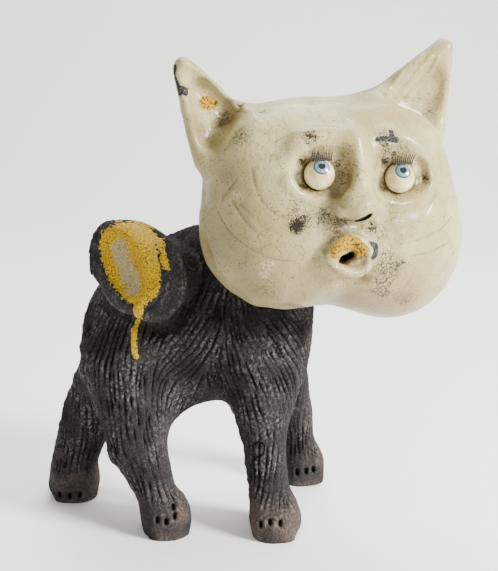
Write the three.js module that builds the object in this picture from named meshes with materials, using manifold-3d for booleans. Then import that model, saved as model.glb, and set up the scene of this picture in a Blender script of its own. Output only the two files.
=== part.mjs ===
// A raku-fired cat: a smoked black clay body with a glazed, crackled head, doll's eyes and lashes.
// Millimetres, +Z up. The cat walks towards +X and turns its face towards -Y.
// Left and right are the cat's own, so its right side is the one on -Y.

import * as THREE from "three";
import { mergeVertices } from "three/addons/utils/BufferGeometryUtils.js";
import Module from "manifold-3d";

const wasm = await Module();
wasm.setup();

// Trunk
const TRUNK_LENGTH = 140; // rump to chest
const TRUNK_WIDTH = 78;
const BELLY_HEIGHT = 76; // floor to belly
const TRUNK_HEIGHT = 101; // belly to back
const NECK_WIDTH = 60;
const TRUNK_FILLET = 15; // where rump, barrel, chest and neck are pressed together

// Legs
const FRONT_SETBACK = 24; // chest to the right front paw
const FRONT_TRACK = 79; // right front paw to left front paw, across
const REAR_TRACK = 51;
const FRONT_LEAD = 20; // left front paw ahead of the right one
const NEAR_STRIDE = 67; // right rear paw to right front paw, along
const FAR_STRIDE = 152; // left rear paw to left front paw, along
const ANKLE_WIDTH = 24;
const THIGH_WIDTH = 50;
const PAW_WIDTH = 31;
const PAW_LENGTH = 36;
const PAW_HEIGHT = 24;
const LEG_FILLET = 12; // legs to trunk
const PAW_FILLET = 9; // paws to legs

// Tail, a stump with a dished end
const TAIL_WIDTH = 46;
const TAIL_HEIGHT = 65;
const TAIL_DEPTH = 46;
const TAIL_TURN = -34; // degrees, from -Y towards -X
const DISH_DEPTH = 7;
const DISH_EDGE = 4; // rounding of its rim
const TAIL_FILLET = 7; // tail to rump
const TAIL_ROOT_FILLET = 12;

// Head
const HEAD_WIDTH = 149;
const HEAD_HEIGHT = 125;
const HEAD_DEPTH = 80;
const HEAD_TURN = 20; // degrees, from -Y towards +X
const CHIN_HEIGHT = 139; // floor to the lowest point of the jowls
const HEAD_FORWARD = 49; // trunk's middle plane to the head's, towards the viewer
const HEAD_AHEAD = 6; // chest to the head's middle
const NOSE_LENGTH = 33;
const NOSE_HEIGHT = 13;
const NOSE_WIDTH = 26;
const MOUTH_WIDTH = 28;
const MOUTH_DEPTH = 10;
const FACE_FILLET = 7; // nose, lids and lips to the skull

// Ears
const EAR_WIDTH = 42;
const EAR_LENGTH = 42;
const EAR_WALL = 6;
const EAR_HOLLOW = 8;
const EAR_FILLET = 12; // ears to the skull

// Eyes and lashes
const EYE_DIAMETER = 16;
const EYE_SPACING = 46.5;
const EYE_CLEARANCE = 0.5;
const SOCKET_EDGE = 5; // rounding of the hollows round the eyes
const LASH_LENGTH = 7;
const LASH_SPREAD = 11; // first lash to last
const LASH_THICKNESS = 0.8;
const LASH_COUNT = 9;
const LASH_DROP = 0.36; // middle of the strip to its ends, down
const LASH_BAND = 1.1; // thickness of the strip that the lashes stand on
const LASH_GAP = 0.4; // strip to eyeball, and to the lid above it

const JOINT_GAP = 0.5; // head to neck

// Mesh steps and the most triangles that are kept
const BODY_STEP = 4.6;
const BODY_TRIANGLES = 3200;
const HEAD_STEP = 3.3;
const HEAD_TRIANGLES = 4500;
const EYE_SIDES = 16;
const LASH_SIDES = 4;

const SMOKED_CLAY = { color: 0x2b2829, roughness: 0.92, metalness: 0 };
const CRACKLE_GLAZE = { color: 0xc9c3aa, roughness: 0.25, metalness: 0 };
const EYE_ENAMEL = { color: 0xe9dfc9, roughness: 0.12, metalness: 0 };
const LASH_FIBRE = { color: 0x4a3a2a, roughness: 0.7, metalness: 0 };

const at = (x, y, z) => new THREE.Vector3(x, y, z);

// Distance fields: negative inside the clay, positive outside, in millimetres

// An egg-shaped lump.
function lump(centre, radii) {
  const q = new THREE.Vector3();
  return (p) => {
    const reach = q.subVectors(p, centre).divide(radii).length();
    const slope = q.divide(radii).length();
    return slope < 1e-6 ? -Math.min(...radii.toArray()) : (reach * (reach - 1)) / slope;
  };
}

// A pillow whose outline, seen along Y, is a rounded square.
function pillow(radii, corner, edge) {
  return (p) => {
    const outline = Math.abs(p.x / radii.x) ** corner + Math.abs(p.z / radii.z) ** corner;
    const reach = (outline ** (edge / corner) + Math.abs(p.y / radii.y) ** edge) ** (1 / edge);
    return reach < 1e-6 ? -radii.y : p.length() * (1 - 1 / reach);
  };
}

// A roll of clay through some points, with a radius at each.
function roll(points, radii) {
  const along = new THREE.Vector3();
  const q = new THREE.Vector3();
  return (p) => {
    let nearest = Infinity;
    for (let i = 0; i + 1 < points.length; i++) {
      along.subVectors(points[i + 1], points[i]);
      q.subVectors(p, points[i]);
      const share = THREE.MathUtils.clamp(q.dot(along) / along.lengthSq(), 0, 1);
      const radius = THREE.MathUtils.lerp(radii[i], radii[i + 1], share);
      nearest = Math.min(nearest, q.addScaledVector(along, -share).length() - radius);
    }
    return nearest;
  };
}

// Fields pressed together, with a fillet about as wide as soft.
function joined(soft, ...fields) {
  return (p) =>
    fields.reduce((sum, field) => {
      const next = field(p);
      const overlap = Math.max(soft - Math.abs(sum - next), 0) / soft;
      return Math.min(sum, next) - (overlap * overlap * soft) / 4;
    }, Infinity);
}

// A field with others scooped out of it, with rounded edges.
function scooped(soft, field, ...scoops) {
  const filled = joined(soft, (p) => -field(p), ...scoops);
  return (p) => -filled(p);
}

// A field moved to a place and turned about its own Y, then X, then Z: the angles are X, Y, Z in degrees.
function placed(field, place, turn) {
  const angles = turn.map(THREE.MathUtils.degToRad);
  const inverse = new THREE.Matrix4().makeRotationFromEuler(new THREE.Euler(...angles, "ZXY"));
  inverse.setPosition(place).invert();
  const q = new THREE.Vector3();
  return (p) => field(q.copy(p).applyMatrix4(inverse));
}

// Turning a field into a closed mesh

// Grid lines from low to high, and one step beyond at each end.
function gridLines(low, high, step) {
  return Array.from({ length: Math.ceil((high - low) / step) + 3 }, (_, i) => low + (i - 1) * step);
}

const CORNERS = Array.from({ length: 8 }, (_, i) => [i & 1, (i >> 1) & 1, i >> 2]);
const differBy = (a, b) => CORNERS[a].filter((side, axis) => side !== CORNERS[b][axis]).length;
const CELL_EDGES = CORNERS.flatMap((_, a) => CORNERS.map((__, b) => [a, b])).filter(
  ([a, b]) => a < b && differBy(a, b) === 1,
);

// Whether the marked corners of a cell hang together along its edges.
function hangsTogether(mask) {
  const marked = CORNERS.map((_, i) => i).filter((i) => mask & (1 << i));
  const reached = new Set(marked.slice(0, 1));
  for (const from of reached) {
    for (const to of marked) {
      if (differBy(from, to) === 1) reached.add(to);
    }
  }
  return reached.size === marked.length;
}

// Whether a face of a cell has its marked corners on one diagonal alone.
function hasCheckeredFace(mask) {
  return CORNERS.some((_, a) =>
    CORNERS.some((_, b) => {
      if (differBy(a, b) !== 2 || !(mask & (1 << a)) || !(mask & (1 << b))) return false;
      const others = CORNERS.map((_, c) => c).filter((c) => differBy(a, c) === 1 && differBy(b, c) === 1);
      return others.every((c) => !(mask & (1 << c)));
    }),
  );
}

// Which of a cell's corners lie inside is kept as one bit each. Clean cells are crossed by one sheet.
const NO_CORNERS = 0;
const ALL_CORNERS = 2 ** CORNERS.length - 1;
const CLEAN_CELL = Array.from(
  { length: ALL_CORNERS + 1 },
  (_, mask) => hangsTogether(mask) && hangsTogether(ALL_CORNERS - mask) && !hasCheckeredFace(mask),
);

// The field's surface as an indexed geometry: one vertex in each cell that it crosses.
function skin(field, lines) {
  const [nx, ny, nz] = lines.map((axis) => axis.length);
  const index = (i, j, k) => i + nx * (j + ny * k);
  const values = new Float64Array(nx * ny * nz);
  const p = new THREE.Vector3();
  for (let k = 0; k < nz; k++) {
    for (let j = 0; j < ny; j++) {
      for (let i = 0; i < nx; i++) {
        values[index(i, j, k)] = field(p.set(lines[0][i], lines[1][j], lines[2][k]));
      }
    }
  }

  const cornersOf = (i, j, k) => CORNERS.map(([a, b, c]) => index(i + a, j + b, k + c));
  const maskOf = (corners) => corners.reduce((mask, c, bit) => mask | (values[c] < 0 ? 1 << bit : 0), 0);
  const eachCell = (visit) => {
    for (let k = 0; k + 1 < nz; k++) {
      for (let j = 0; j + 1 < ny; j++) {
        for (let i = 0; i + 1 < nx; i++) visit(i, j, k, cornersOf(i, j, k));
      }
    }
  };

  // A cell that the surface crosses twice would pinch the mesh, so its emptiest corners are filled.
  let pinched = true;
  while (pinched) {
    pinched = false;
    eachCell((i, j, k, corners) => {
      if (CLEAN_CELL[maskOf(corners)]) return;
      const empty = corners.filter((c) => values[c] >= 0).sort((a, b) => values[a] - values[b]);
      values[empty[0]] = -1e-3;
      pinched = true;
    });
  }

  const margin = 0.03; // share of a cell that its vertex keeps off the cell's sides
  const vertices = [];
  const vertexOf = new Map();
  const slope = new THREE.Vector3();
  const towards = (axis, q) => {
    const probe = 0.2;
    const ahead = field(q.clone().setComponent(axis, q.getComponent(axis) + probe));
    const behind = field(q.clone().setComponent(axis, q.getComponent(axis) - probe));
    return (ahead - behind) / (2 * probe);
  };
  eachCell((i, j, k, corners) => {
    const mask = maskOf(corners);
    if (mask === NO_CORNERS || mask === ALL_CORNERS) return;
    const place = new THREE.Vector3();
    let crossings = 0;
    for (const [a, b] of CELL_EDGES) {
      if (!(mask & (1 << a)) === !(mask & (1 << b))) continue;
      const share = values[corners[a]] / (values[corners[a]] - values[corners[b]]);
      const blend = CORNERS[a].map((side, axis) => THREE.MathUtils.lerp(side, CORNERS[b][axis], share));
      place.add(at(...blend));
      crossings++;
    }
    place.divideScalar(crossings);
    const low = at(lines[0][i], lines[1][j], lines[2][k]);
    const size = at(lines[0][i + 1], lines[1][j + 1], lines[2][k + 1]).sub(low);
    place.multiply(size).add(low);
    low.addScaledVector(size, margin);
    const high = low.clone().addScaledVector(size, 1 - 2 * margin);
    for (let pass = 0; pass < 3; pass++) {
      slope.set(towards(0, place), towards(1, place), towards(2, place));
      place.addScaledVector(slope, -field(place) / Math.max(slope.lengthSq(), 0.3)).clamp(low, high);
    }
    vertexOf.set(index(i, j, k), vertices.length / 3);
    vertices.push(...place.toArray());
  });

  const triangles = [];
  const corner = (v) => at(vertices[3 * v], vertices[3 * v + 1], vertices[3 * v + 2]);
  const addQuad = (a, b, c, d) => {
    const short = corner(a).distanceTo(corner(c)) < corner(b).distanceTo(corner(d));
    triangles.push(...(short ? [a, b, c, a, c, d] : [a, b, d, b, c, d]));
  };
  const strides = [1, nx, nx * ny];
  eachCell((i, j, k, [here]) => {
    if (Math.min(i, j, k) < 1) return;
    strides.forEach((stride, axis) => {
      if (values[here] < 0 === values[here + stride] < 0) return;
      const [u, v] = [strides[(axis + 1) % 3], strides[(axis + 2) % 3]];
      const around = [here - u - v, here - v, here, here - u].map((cell) => vertexOf.get(cell));
      addQuad(...(values[here] < 0 ? around : around.reverse()));
    });
  });
  const geometry = new THREE.BufferGeometry();
  geometry.setAttribute("position", new THREE.Float32BufferAttribute(vertices, 3));
  return geometry.setIndex(triangles);
}

// Takes out the vertices that the shape needs least, until no more triangles are left than asked.
function lightened(geometry, most) {
  const position = geometry.getAttribute("position");
  const pointAt = (i) => at(0, 0, 0).fromBufferAttribute(position, i);
  const points = Array.from({ length: position.count }, (_, i) => pointAt(i));
  const facesAt = points.map(() => new Set());
  const planesAt = points.map(() => []);
  const triangle = new THREE.Triangle();
  for (let i = 0; i < geometry.index.count; i += 3) {
    const face = [0, 1, 2].map((side) => geometry.index.getX(i + side));
    const plane = triangle.setFromPointsAndIndices(points, ...face).getPlane(new THREE.Plane());
    for (const v of face) {
      facesAt[v].add(face);
      planesAt[v].push(plane);
    }
  }
  const neighbours = (v) => new Set([...facesAt[v]].flat().filter((other) => other !== v));
  const farthest = (v, point) => {
    const distances = planesAt[v].map((plane) => Math.abs(plane.distanceToPoint(point)));
    return Math.max(...distances);
  };
  const normal = new THREE.Vector3();
  const isSound = (from, to) => {
    const shared = [...neighbours(from)].filter((v) => neighbours(to).has(v));
    if (shared.length !== 2 || shared.some((v) => facesAt[v].size < 4)) return false;
    return [...facesAt[from]].every((face) => {
      if (face.includes(to)) return true;
      triangle.setFromPointsAndIndices(points, ...face).getNormal(normal);
      const corners = face.map((v) => points[v === from ? to : v]);
      triangle.set(...corners);
      const longest = Math.max(...corners.map((c, i) => c.distanceTo(corners[(i + 1) % 3])));
      return triangle.getNormal(at(0, 0, 0)).dot(normal) > 0.75 && triangle.getArea() > 0.12 * longest ** 2;
    });
  };
  const moveInto = (from, to) => {
    for (const face of facesAt[from]) {
      if (face.includes(to)) face.forEach((v) => facesAt[v].delete(face));
      else facesAt[to].add(face);
      face[face.indexOf(from)] = to;
    }
    facesAt[from].clear();
    planesAt[to].push(...planesAt[from]);
  };
  let left = geometry.index.count / 3;
  for (let allowed = 0.02; left > most && allowed < 2; allowed *= 1.35) {
    for (let from = 0; from < points.length && left > most; from++) {
      if (!facesAt[from].size) continue;
      const costs = [...neighbours(from)].map((to) => [farthest(from, points[to]), to]);
      const choices = costs.filter(([cost]) => cost < allowed).sort((a, b) => a[0] - b[0]);
      const choice = choices.find(([, to]) => isSound(from, to));
      if (!choice) continue;
      moveInto(from, choice[1]);
      left -= 2;
    }
  }
  const kept = [...new Set(facesAt.flatMap((faces) => [...faces]))];
  const used = [...new Set(kept.flat())];
  const numbers = new Map(used.map((v, i) => [v, i]));
  const light = new THREE.BufferGeometry().setFromPoints(used.map((v) => points[v]));
  return light.setIndex(kept.flat().map((v) => numbers.get(v)));
}

// The same surface moved outwards by a distance.
function swollen(geometry, distance) {
  const shell = geometry.clone();
  shell.computeVertexNormals();
  const position = shell.getAttribute("position");
  const normal = shell.getAttribute("normal");
  for (let i = 0; i < position.count; i++) {
    const moved = at(0, 0, 0).fromBufferAttribute(normal, i).multiplyScalar(distance);
    moved.add(at(position.getX(i), position.getY(i), position.getZ(i)));
    position.setXYZ(i, ...moved);
  }
  return shell;
}

// A closed geometry as a solid that can be joined and cut.
function solidOf(geometry) {
  const bare = new THREE.BufferGeometry().setAttribute("position", geometry.getAttribute("position"));
  bare.setIndex(geometry.index);
  const merged = mergeVertices(bare, 1e-4);
  const vertProperties = new Float32Array(merged.getAttribute("position").array);
  const triVerts = new Uint32Array(merged.index.array);
  return new wasm.Manifold(new wasm.Mesh({ numProp: 3, vertProperties, triVerts }));
}

function geometryOf(solid) {
  const { vertProperties, triVerts } = solid.getMesh();
  const indexed = new THREE.BufferGeometry();
  indexed.setAttribute("position", new THREE.Float32BufferAttribute(vertProperties, 3));
  indexed.setIndex([...triVerts]);
  const faceted = indexed.toNonIndexed();
  faceted.computeVertexNormals();
  return faceted;
}

function meshOf(name, solid, finish) {
  const mesh = new THREE.Mesh(geometryOf(solid), new THREE.MeshStandardMaterial(finish));
  mesh.name = name;
  return mesh;
}

// The body's landmarks

const BACK_HEIGHT = BELLY_HEIGHT + TRUNK_HEIGHT;
const alongTrunk = (share) => share * TRUNK_LENGTH;
const upTrunk = (share) => BELLY_HEIGHT + share * TRUNK_HEIGHT;
const acrossTrunk = (share) => (share * TRUNK_WIDTH) / 2;

const HEAD_PLACE = at(TRUNK_LENGTH + HEAD_AHEAD, -HEAD_FORWARD, CHIN_HEIGHT + 0.515 * HEAD_HEIGHT);

function trunk() {
  const rump = lump(
    at(alongTrunk(0.25), 0, upTrunk(0.34)),
    at(0.275 * TRUNK_LENGTH, 0.49 * TRUNK_WIDTH, 0.54 * TRUNK_HEIGHT),
  );
  const barrel = lump(
    at(alongTrunk(0.52), 0, upTrunk(0.53)),
    at(0.34 * TRUNK_LENGTH, 0.48 * TRUNK_WIDTH, 0.55 * TRUNK_HEIGHT),
  );
  const chest = lump(
    at(alongTrunk(0.78), 0, upTrunk(0.5)),
    at(0.22 * TRUNK_LENGTH, 0.5 * TRUNK_WIDTH, 0.6 * TRUNK_HEIGHT),
  );
  const nape = at(alongTrunk(0.74), 0, upTrunk(0.86));
  const throat = HEAD_PLACE.clone().lerp(nape, 0.5);
  const neck = roll([nape, throat], [0.52 * NECK_WIDTH, 0.46 * NECK_WIDTH]);
  return joined(TRUNK_FILLET, rump, barrel, chest, neck);
}

// A leg from its root in the trunk through the knee and ankle to the paw.
function leg({ root, knee, ankle, paw, thigh, shin, hock, pawTurn }) {
  const pawTop = at(paw.x, paw.y, 0.4 * PAW_HEIGHT);
  const radii = [thigh * THIGH_WIDTH, shin * THIGH_WIDTH, hock * ANKLE_WIDTH, hock * ANKLE_WIDTH];
  const pad = placed(
    pillow(at(0.5 * PAW_WIDTH, 0.5 * PAW_LENGTH, 0.75 * PAW_HEIGHT), 2.6, 2.6),
    at(paw.x, paw.y, 0.25 * PAW_HEIGHT),
    [0, 0, pawTurn],
  );
  return joined(PAW_FILLET, roll([root, knee, ankle, pawTop], radii), pad);
}

function legs() {
  const nearX = TRUNK_LENGTH - FRONT_SETBACK;
  const farX = nearX + FRONT_LEAD;
  const rightFront = at(nearX, -0.42 * FRONT_TRACK, 0);
  const leftFront = at(farX, 0.58 * FRONT_TRACK, 0);
  const rightRear = at(nearX - NEAR_STRIDE, -0.59 * REAR_TRACK, 0);
  const leftRear = at(farX - FAR_STRIDE, 0.41 * REAR_TRACK, 0);
  // A joint above a paw, in shares of the belly's height.
  const above = (paw, x, y, height) => at(x, y, height).multiplyScalar(BELLY_HEIGHT).add(paw);
  return [
    {
      root: at(alongTrunk(0.77), acrossTrunk(-0.5), upTrunk(0.26)),
      knee: above(rightFront, -0.09, 0.05, 0.76),
      ankle: above(rightFront, -0.05, 0.03, 0.36),
      paw: rightFront,
      thigh: 0.47,
      shin: 0.27,
      hock: 0.52,
      pawTurn: 5,
    },
    {
      root: at(alongTrunk(0.83), acrossTrunk(0.55), upTrunk(0.26)),
      knee: above(leftFront, -0.07, -0.07, 0.66),
      ankle: above(leftFront, -0.04, 0, 0.36),
      paw: leftFront,
      thigh: 0.4,
      shin: 0.25,
      hock: 0.49,
      pawTurn: 14,
    },
    {
      root: at(alongTrunk(0.2), acrossTrunk(-0.42), upTrunk(0.24)),
      knee: above(rightRear, -0.22, 0.05, 0.72),
      ankle: above(rightRear, -0.07, 0.01, 0.3),
      paw: rightRear,
      thigh: 0.54,
      shin: 0.37,
      hock: 0.48,
      pawTurn: 12,
    },
    {
      root: at(alongTrunk(0.12), acrossTrunk(0.4), upTrunk(0.18)),
      knee: above(leftRear, 0.17, -0.04, 0.78),
      ankle: above(leftRear, 0.01, -0.01, 0.34),
      paw: leftRear,
      thigh: 0.46,
      shin: 0.36,
      hock: 0.61,
      pawTurn: 6,
    },
  ].map(leg);
}

// The tail's stump stands on the rump, and its cut end is dished.
function tail() {
  const radii = at(0.5 * TAIL_WIDTH, 0.5 * TAIL_DEPTH, 0.5 * TAIL_HEIGHT);
  const place = at(alongTrunk(0.26), acrossTrunk(-0.8), upTrunk(0.88));
  const turn = [-14, -52, TAIL_TURN];
  const stump = placed(pillow(radii, 2, 3.4), place, turn);
  const rump = at(alongTrunk(0.32), 0, upTrunk(0.5));
  const root = roll([place, rump], [0.36 * TAIL_WIDTH, 0.45 * TAIL_WIDTH]);
  const dish = lump(
    at(-0.02 * TAIL_WIDTH, -radii.y, 0.02 * TAIL_HEIGHT),
    at(0.36 * TAIL_WIDTH, DISH_DEPTH, 0.39 * TAIL_HEIGHT),
  );
  return { stump: joined(TAIL_ROOT_FILLET, stump, root), dish: placed(dish, place, turn) };
}

function bodyField() {
  const { stump, dish } = tail();
  const figure = joined(LEG_FILLET, trunk(), ...legs());
  return scooped(DISH_EDGE, joined(TAIL_FILLET, figure, stump), dish);
}

// The head in its own frame: X across, -Y out of the face, +Z up, with the origin at its middle

// A point of the head as shares of its half width, half depth and half height.
const onHead = (x, y, z) => at(0.5 * HEAD_WIDTH * x, 0.5 * HEAD_DEPTH * y, 0.5 * HEAD_HEIGHT * z);

const EYES = {
  right: onHead(0, -0.86, 0.4).add(at(-0.5 * EYE_SPACING, 0, 0)),
  left: onHead(0, -0.84, 0.335).add(at(0.5 * EYE_SPACING, 0, 0)),
};
const NOSE_TIP = onHead(-0.055, -0.95, 0.14);
const MOUTH = onHead(-0.13, -0.98, -0.3);

function skull() {
  const part = (centre, radii) => lump(onHead(...centre), onHead(...radii));
  const crown = placed(pillow(onHead(0.93, 0.93, 0.8), 3, 2.4), onHead(-0.045, 0, 0.19), [0, 0, 0]);
  const rightJowl = part([-0.37, 0, -0.27], [0.56, 0.86, 0.58]);
  const leftJowl = part([0.48, 0, -0.36], [0.56, 0.9, 0.68]);
  return joined(0.16 * HEAD_WIDTH, crown, rightJowl, leftJowl);
}

// An ear: a thick leaf between two places on the skull and a tip, hollowed on its front.
function ear({ inner, outer, tip, depth }) {
  const middle = inner.clone().add(outer).add(tip).divideScalar(3);
  const front = new THREE.Triangle(inner, outer, tip).getNormal(at(0, 0, 0));
  front.multiplyScalar(-Math.sign(front.y));
  const leaf = (radius, share, forward) => {
    const moved = (corner) => corner.clone().lerp(middle, 1 - share).addScaledVector(front, forward);
    const triangle = new THREE.Triangle(moved(inner), moved(outer), moved(tip));
    const nearest = new THREE.Vector3();
    return (p) => triangle.closestPointToPoint(p, nearest).distanceTo(p) - radius;
  };
  const scoop = 0.85 * EAR_HOLLOW;
  return { leaf: leaf(EAR_WALL, 1, 0), hollow: leaf(scoop, 0.42, EAR_WALL - depth * EAR_HOLLOW + scoop) };
}

function ears() {
  const from = (foot, length, x, y, z) => foot.clone().add(at(x, y, z).normalize().multiplyScalar(length));
  const between = EAR_WIDTH - 2 * EAR_WALL;
  const rise = EAR_LENGTH - EAR_WALL;
  const rightInner = onHead(-0.72, 0.12, 0.84);
  const leftInner = onHead(0.31, 0.12, 0.88);
  const rightEar = {
    inner: rightInner,
    outer: from(rightInner, 1.05 * between, -0.66, -0.2, -0.7),
    tip: from(rightInner, 1.16 * rise, -0.82, -0.2, 0.66),
    depth: 1,
  };
  const leftEar = {
    inner: leftInner,
    outer: from(leftInner, 1.5 * between, 0.97, 0, -0.36),
    tip: from(leftInner, 1.52 * rise, 0.86, -0.05, 0.62),
    depth: 0.7,
  };
  return [rightEar, leftEar].map(ear);
}

// Points of an arc in the face's plane, from one angle to another in degrees.
function arc(centre, across, up, from, to, steps) {
  return Array.from({ length: steps + 1 }, (_, i) => {
    const angle = THREE.MathUtils.degToRad(THREE.MathUtils.lerp(from, to, i / steps));
    return centre.clone().add(at(across * Math.cos(angle), 0, up * Math.sin(angle)));
  });
}

function nose() {
  const up = (share, depth) => NOSE_TIP.clone().add(at(0, depth * NOSE_HEIGHT, share * NOSE_LENGTH));
  const bridge = roll(
    [up(1.1, 0.45), up(0.75, 0.2), up(0.3, -0.25), up(0, -0.4)],
    [0.17, 0.18, 0.24, 0.29].map((share) => share * NOSE_WIDTH),
  );
  const wings = [-1, 1].map((side) => {
    const place = up(-0.06, -0.02).add(at(0.31 * side * NOSE_WIDTH, 0, 0));
    return lump(place, at(0.22, 0.27, 0.21).multiplyScalar(NOSE_WIDTH));
  });
  return [bridge, ...wings];
}

// A brow above an eye and a bag below it, both as soft arcs.
function lids(eye) {
  const socket = eye.clone().add(at(0, 0.2 * EYE_DIAMETER, 0));
  const brow = arc(socket, 1.12 * EYE_DIAMETER, 1.22 * EYE_DIAMETER, 25, 155, 6);
  const bag = arc(socket, 1.15 * EYE_DIAMETER, 0.95 * EYE_DIAMETER, 195, 345, 7);
  return [roll(brow, brow.map(() => 0.26 * EYE_DIAMETER)), roll(bag, bag.map(() => 0.2 * EYE_DIAMETER))];
}

function headField() {
  const pair = ears();
  const blank = joined(EAR_FILLET, skull(), ...pair.map(({ leaf }) => leaf));
  const lips = arc(MOUTH, 0.33 * MOUTH_WIDTH, 0.22 * MOUTH_WIDTH, 0, 360, 12);
  const lipRing = roll(lips, lips.map(() => 0.17 * MOUTH_WIDTH));
  const modelled = joined(FACE_FILLET, blank, ...nose(), ...Object.values(EYES).flatMap(lids), lipRing);
  const sockets = Object.values(EYES).map((eye) =>
    lump(eye.clone().add(at(0, -0.42 * EYE_DIAMETER, 0)), at(0.86, 0.62, 0.78).multiplyScalar(EYE_DIAMETER)),
  );
  return scooped(SOCKET_EDGE, modelled, ...pair.map(({ hollow }) => hollow), ...sockets);
}

function headSkin() {
  const side = 0.5 * (HEAD_WIDTH + EAR_WIDTH);
  const across = gridLines(-side, side, HEAD_STEP);
  const back = 0.5 * HEAD_DEPTH + EAR_WALL;
  const deep = gridLines(-back - NOSE_HEIGHT, back, HEAD_STEP);
  const up = gridLines(-0.55 * HEAD_HEIGHT, 0.5 * HEAD_HEIGHT + EAR_LENGTH + EAR_WALL, HEAD_STEP);
  return lightened(skin(headField(), [across, deep, up]), HEAD_TRIANGLES);
}

// A ball, with its poles tilted up along the gaze.
function ball(radius) {
  return new THREE.SphereGeometry(radius, EYE_SIDES, EYE_SIDES / 2).rotateX(-0.3 * Math.PI);
}

function headSolid(blank) {
  const mouthHole = ball(1).scale(0.18 * MOUTH_WIDTH, MOUTH_DEPTH, 0.1 * MOUTH_WIDTH);
  const holePlace = at(-0.07, -0.11, 0).multiplyScalar(MOUTH_WIDTH).add(MOUTH);
  mouthHole.rotateY(-0.35).translate(...holePlace);
  const seats = Object.values(EYES).flatMap((eye) => {
    const seat = solidOf(ball(0.5 * EYE_DIAMETER + EYE_CLEARANCE).translate(...eye));
    return [seat, solidOf(lashStrip(LASH_BAND + 2 * LASH_GAP).translate(...eye))];
  });
  return seats.reduce((rest, seat) => rest.subtract(seat), solidOf(blank).subtract(solidOf(mouthHole)));
}

function bodySolid(headShape) {
  const spread = 0.5 * (FAR_STRIDE - TRUNK_LENGTH) + PAW_WIDTH;
  const blank = lightened(
    skin(bodyField(), [
      gridLines(-spread, TRUNK_LENGTH + spread, BODY_STEP),
      gridLines(acrossTrunk(-1) - TAIL_DEPTH, acrossTrunk(1) + PAW_LENGTH, BODY_STEP),
      gridLines(-PAW_HEIGHT, BACK_HEIGHT + NECK_WIDTH, BODY_STEP),
    ]),
    BODY_TRIANGLES,
  );
  const floorSide = 4 * TRUNK_LENGTH;
  const floor = new THREE.BoxGeometry(floorSide, floorSide, floorSide).translate(0, 0, -0.5 * floorSide);
  const cut = solidOf(blank).subtract(solidOf(floor)).subtract(solidOf(headShape));
  return cut.decompose().sort((a, b) => b.volume() - a.volume())[0];
}

// The middle line of a strip that lies over the top of an eyeball.
function lashLine(share) {
  const radius = 0.5 * EYE_DIAMETER + LASH_GAP + 0.5 * LASH_BAND;
  const rise = THREE.MathUtils.degToRad(50);
  const x = LASH_SPREAD * (share - 0.5);
  const out = Math.sqrt(radius ** 2 - x ** 2) * Math.cos(rise);
  const drop = 4 * LASH_DROP * (share - 0.5) ** 2;
  return at(x, -out, radius * Math.sin(rise) - drop);
}

function lashStrip(thickness) {
  const path = new THREE.CatmullRomCurve3([-0.04, 0.25, 0.5, 0.75, 1.04].map(lashLine));
  const section = new THREE.Shape().absarc(0, 0, 0.5 * thickness, 0, 2 * Math.PI);
  const options = { steps: 6, curveSegments: 4, extrudePath: path, bevelEnabled: false };
  return new THREE.ExtrudeGeometry(section, options);
}

function lashes() {
  const bristles = Array.from({ length: LASH_COUNT }, (_, i) => {
    const share = i / (LASH_COUNT - 1);
    const [thin, thick] = [0.3 * LASH_THICKNESS, 0.5 * LASH_THICKNESS];
    const bristle = new THREE.CylinderGeometry(thin, thick, LASH_LENGTH, LASH_SIDES);
    bristle.rotateX(0.5 * Math.PI).translate(0, 0, 0.5 * LASH_LENGTH);
    return solidOf(bristle.rotateX(0.2).rotateY(0.3 * (share - 0.5)).translate(...lashLine(share)));
  });
  return bristles.reduce((sum, bristle) => sum.add(bristle), solidOf(lashStrip(LASH_BAND)));
}

function build() {
  const blank = headSkin();
  const head = new THREE.Group();
  head.position.copy(HEAD_PLACE);
  head.rotation.z = THREE.MathUtils.degToRad(HEAD_TURN);
  head.updateMatrixWorld(true);
  head.add(meshOf("head", headSolid(blank), CRACKLE_GLAZE));
  for (const [side, place] of Object.entries(EYES)) {
    const eye = meshOf(`${side}_eye`, solidOf(ball(0.5 * EYE_DIAMETER)), EYE_ENAMEL);
    const fringe = meshOf(`${side}_lashes`, lashes(), LASH_FIBRE);
    eye.position.copy(place);
    fringe.position.copy(place);
    head.add(eye, fringe);
  }
  const cat = new THREE.Group();
  const headShape = swollen(blank, JOINT_GAP).applyMatrix4(head.matrixWorld);
  cat.add(meshOf("body", bodySolid(headShape), SMOKED_CLAY), head);
  const box = new THREE.Box3().setFromObject(cat, true);
  const middle = box.getCenter(new THREE.Vector3());
  cat.position.set(-middle.x, -middle.y, -box.min.z);
  return cat;
}

export default build();
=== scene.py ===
"""The raku cat: combed black clay, a crackle-glazed head, doll's eyes and lashes.

Everything is in metres in the part's own frame: +X is the way that the body walks, -Y is the side that the
face looks to, and +Z is up. Left and right are the cat's own. Places on the side that the camera sees are
given by their pixel in the 498 by 571 frame, and they are looked up on the clay itself.
"""
import logging
import math
from dataclasses import dataclass, field
from enum import Enum

import bmesh
import bpy
import numpy as np
from mathutils import Matrix, Vector, noise
from mathutils.bvhtree import BVHTree
from mathutils.kdtree import KDTree


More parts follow.
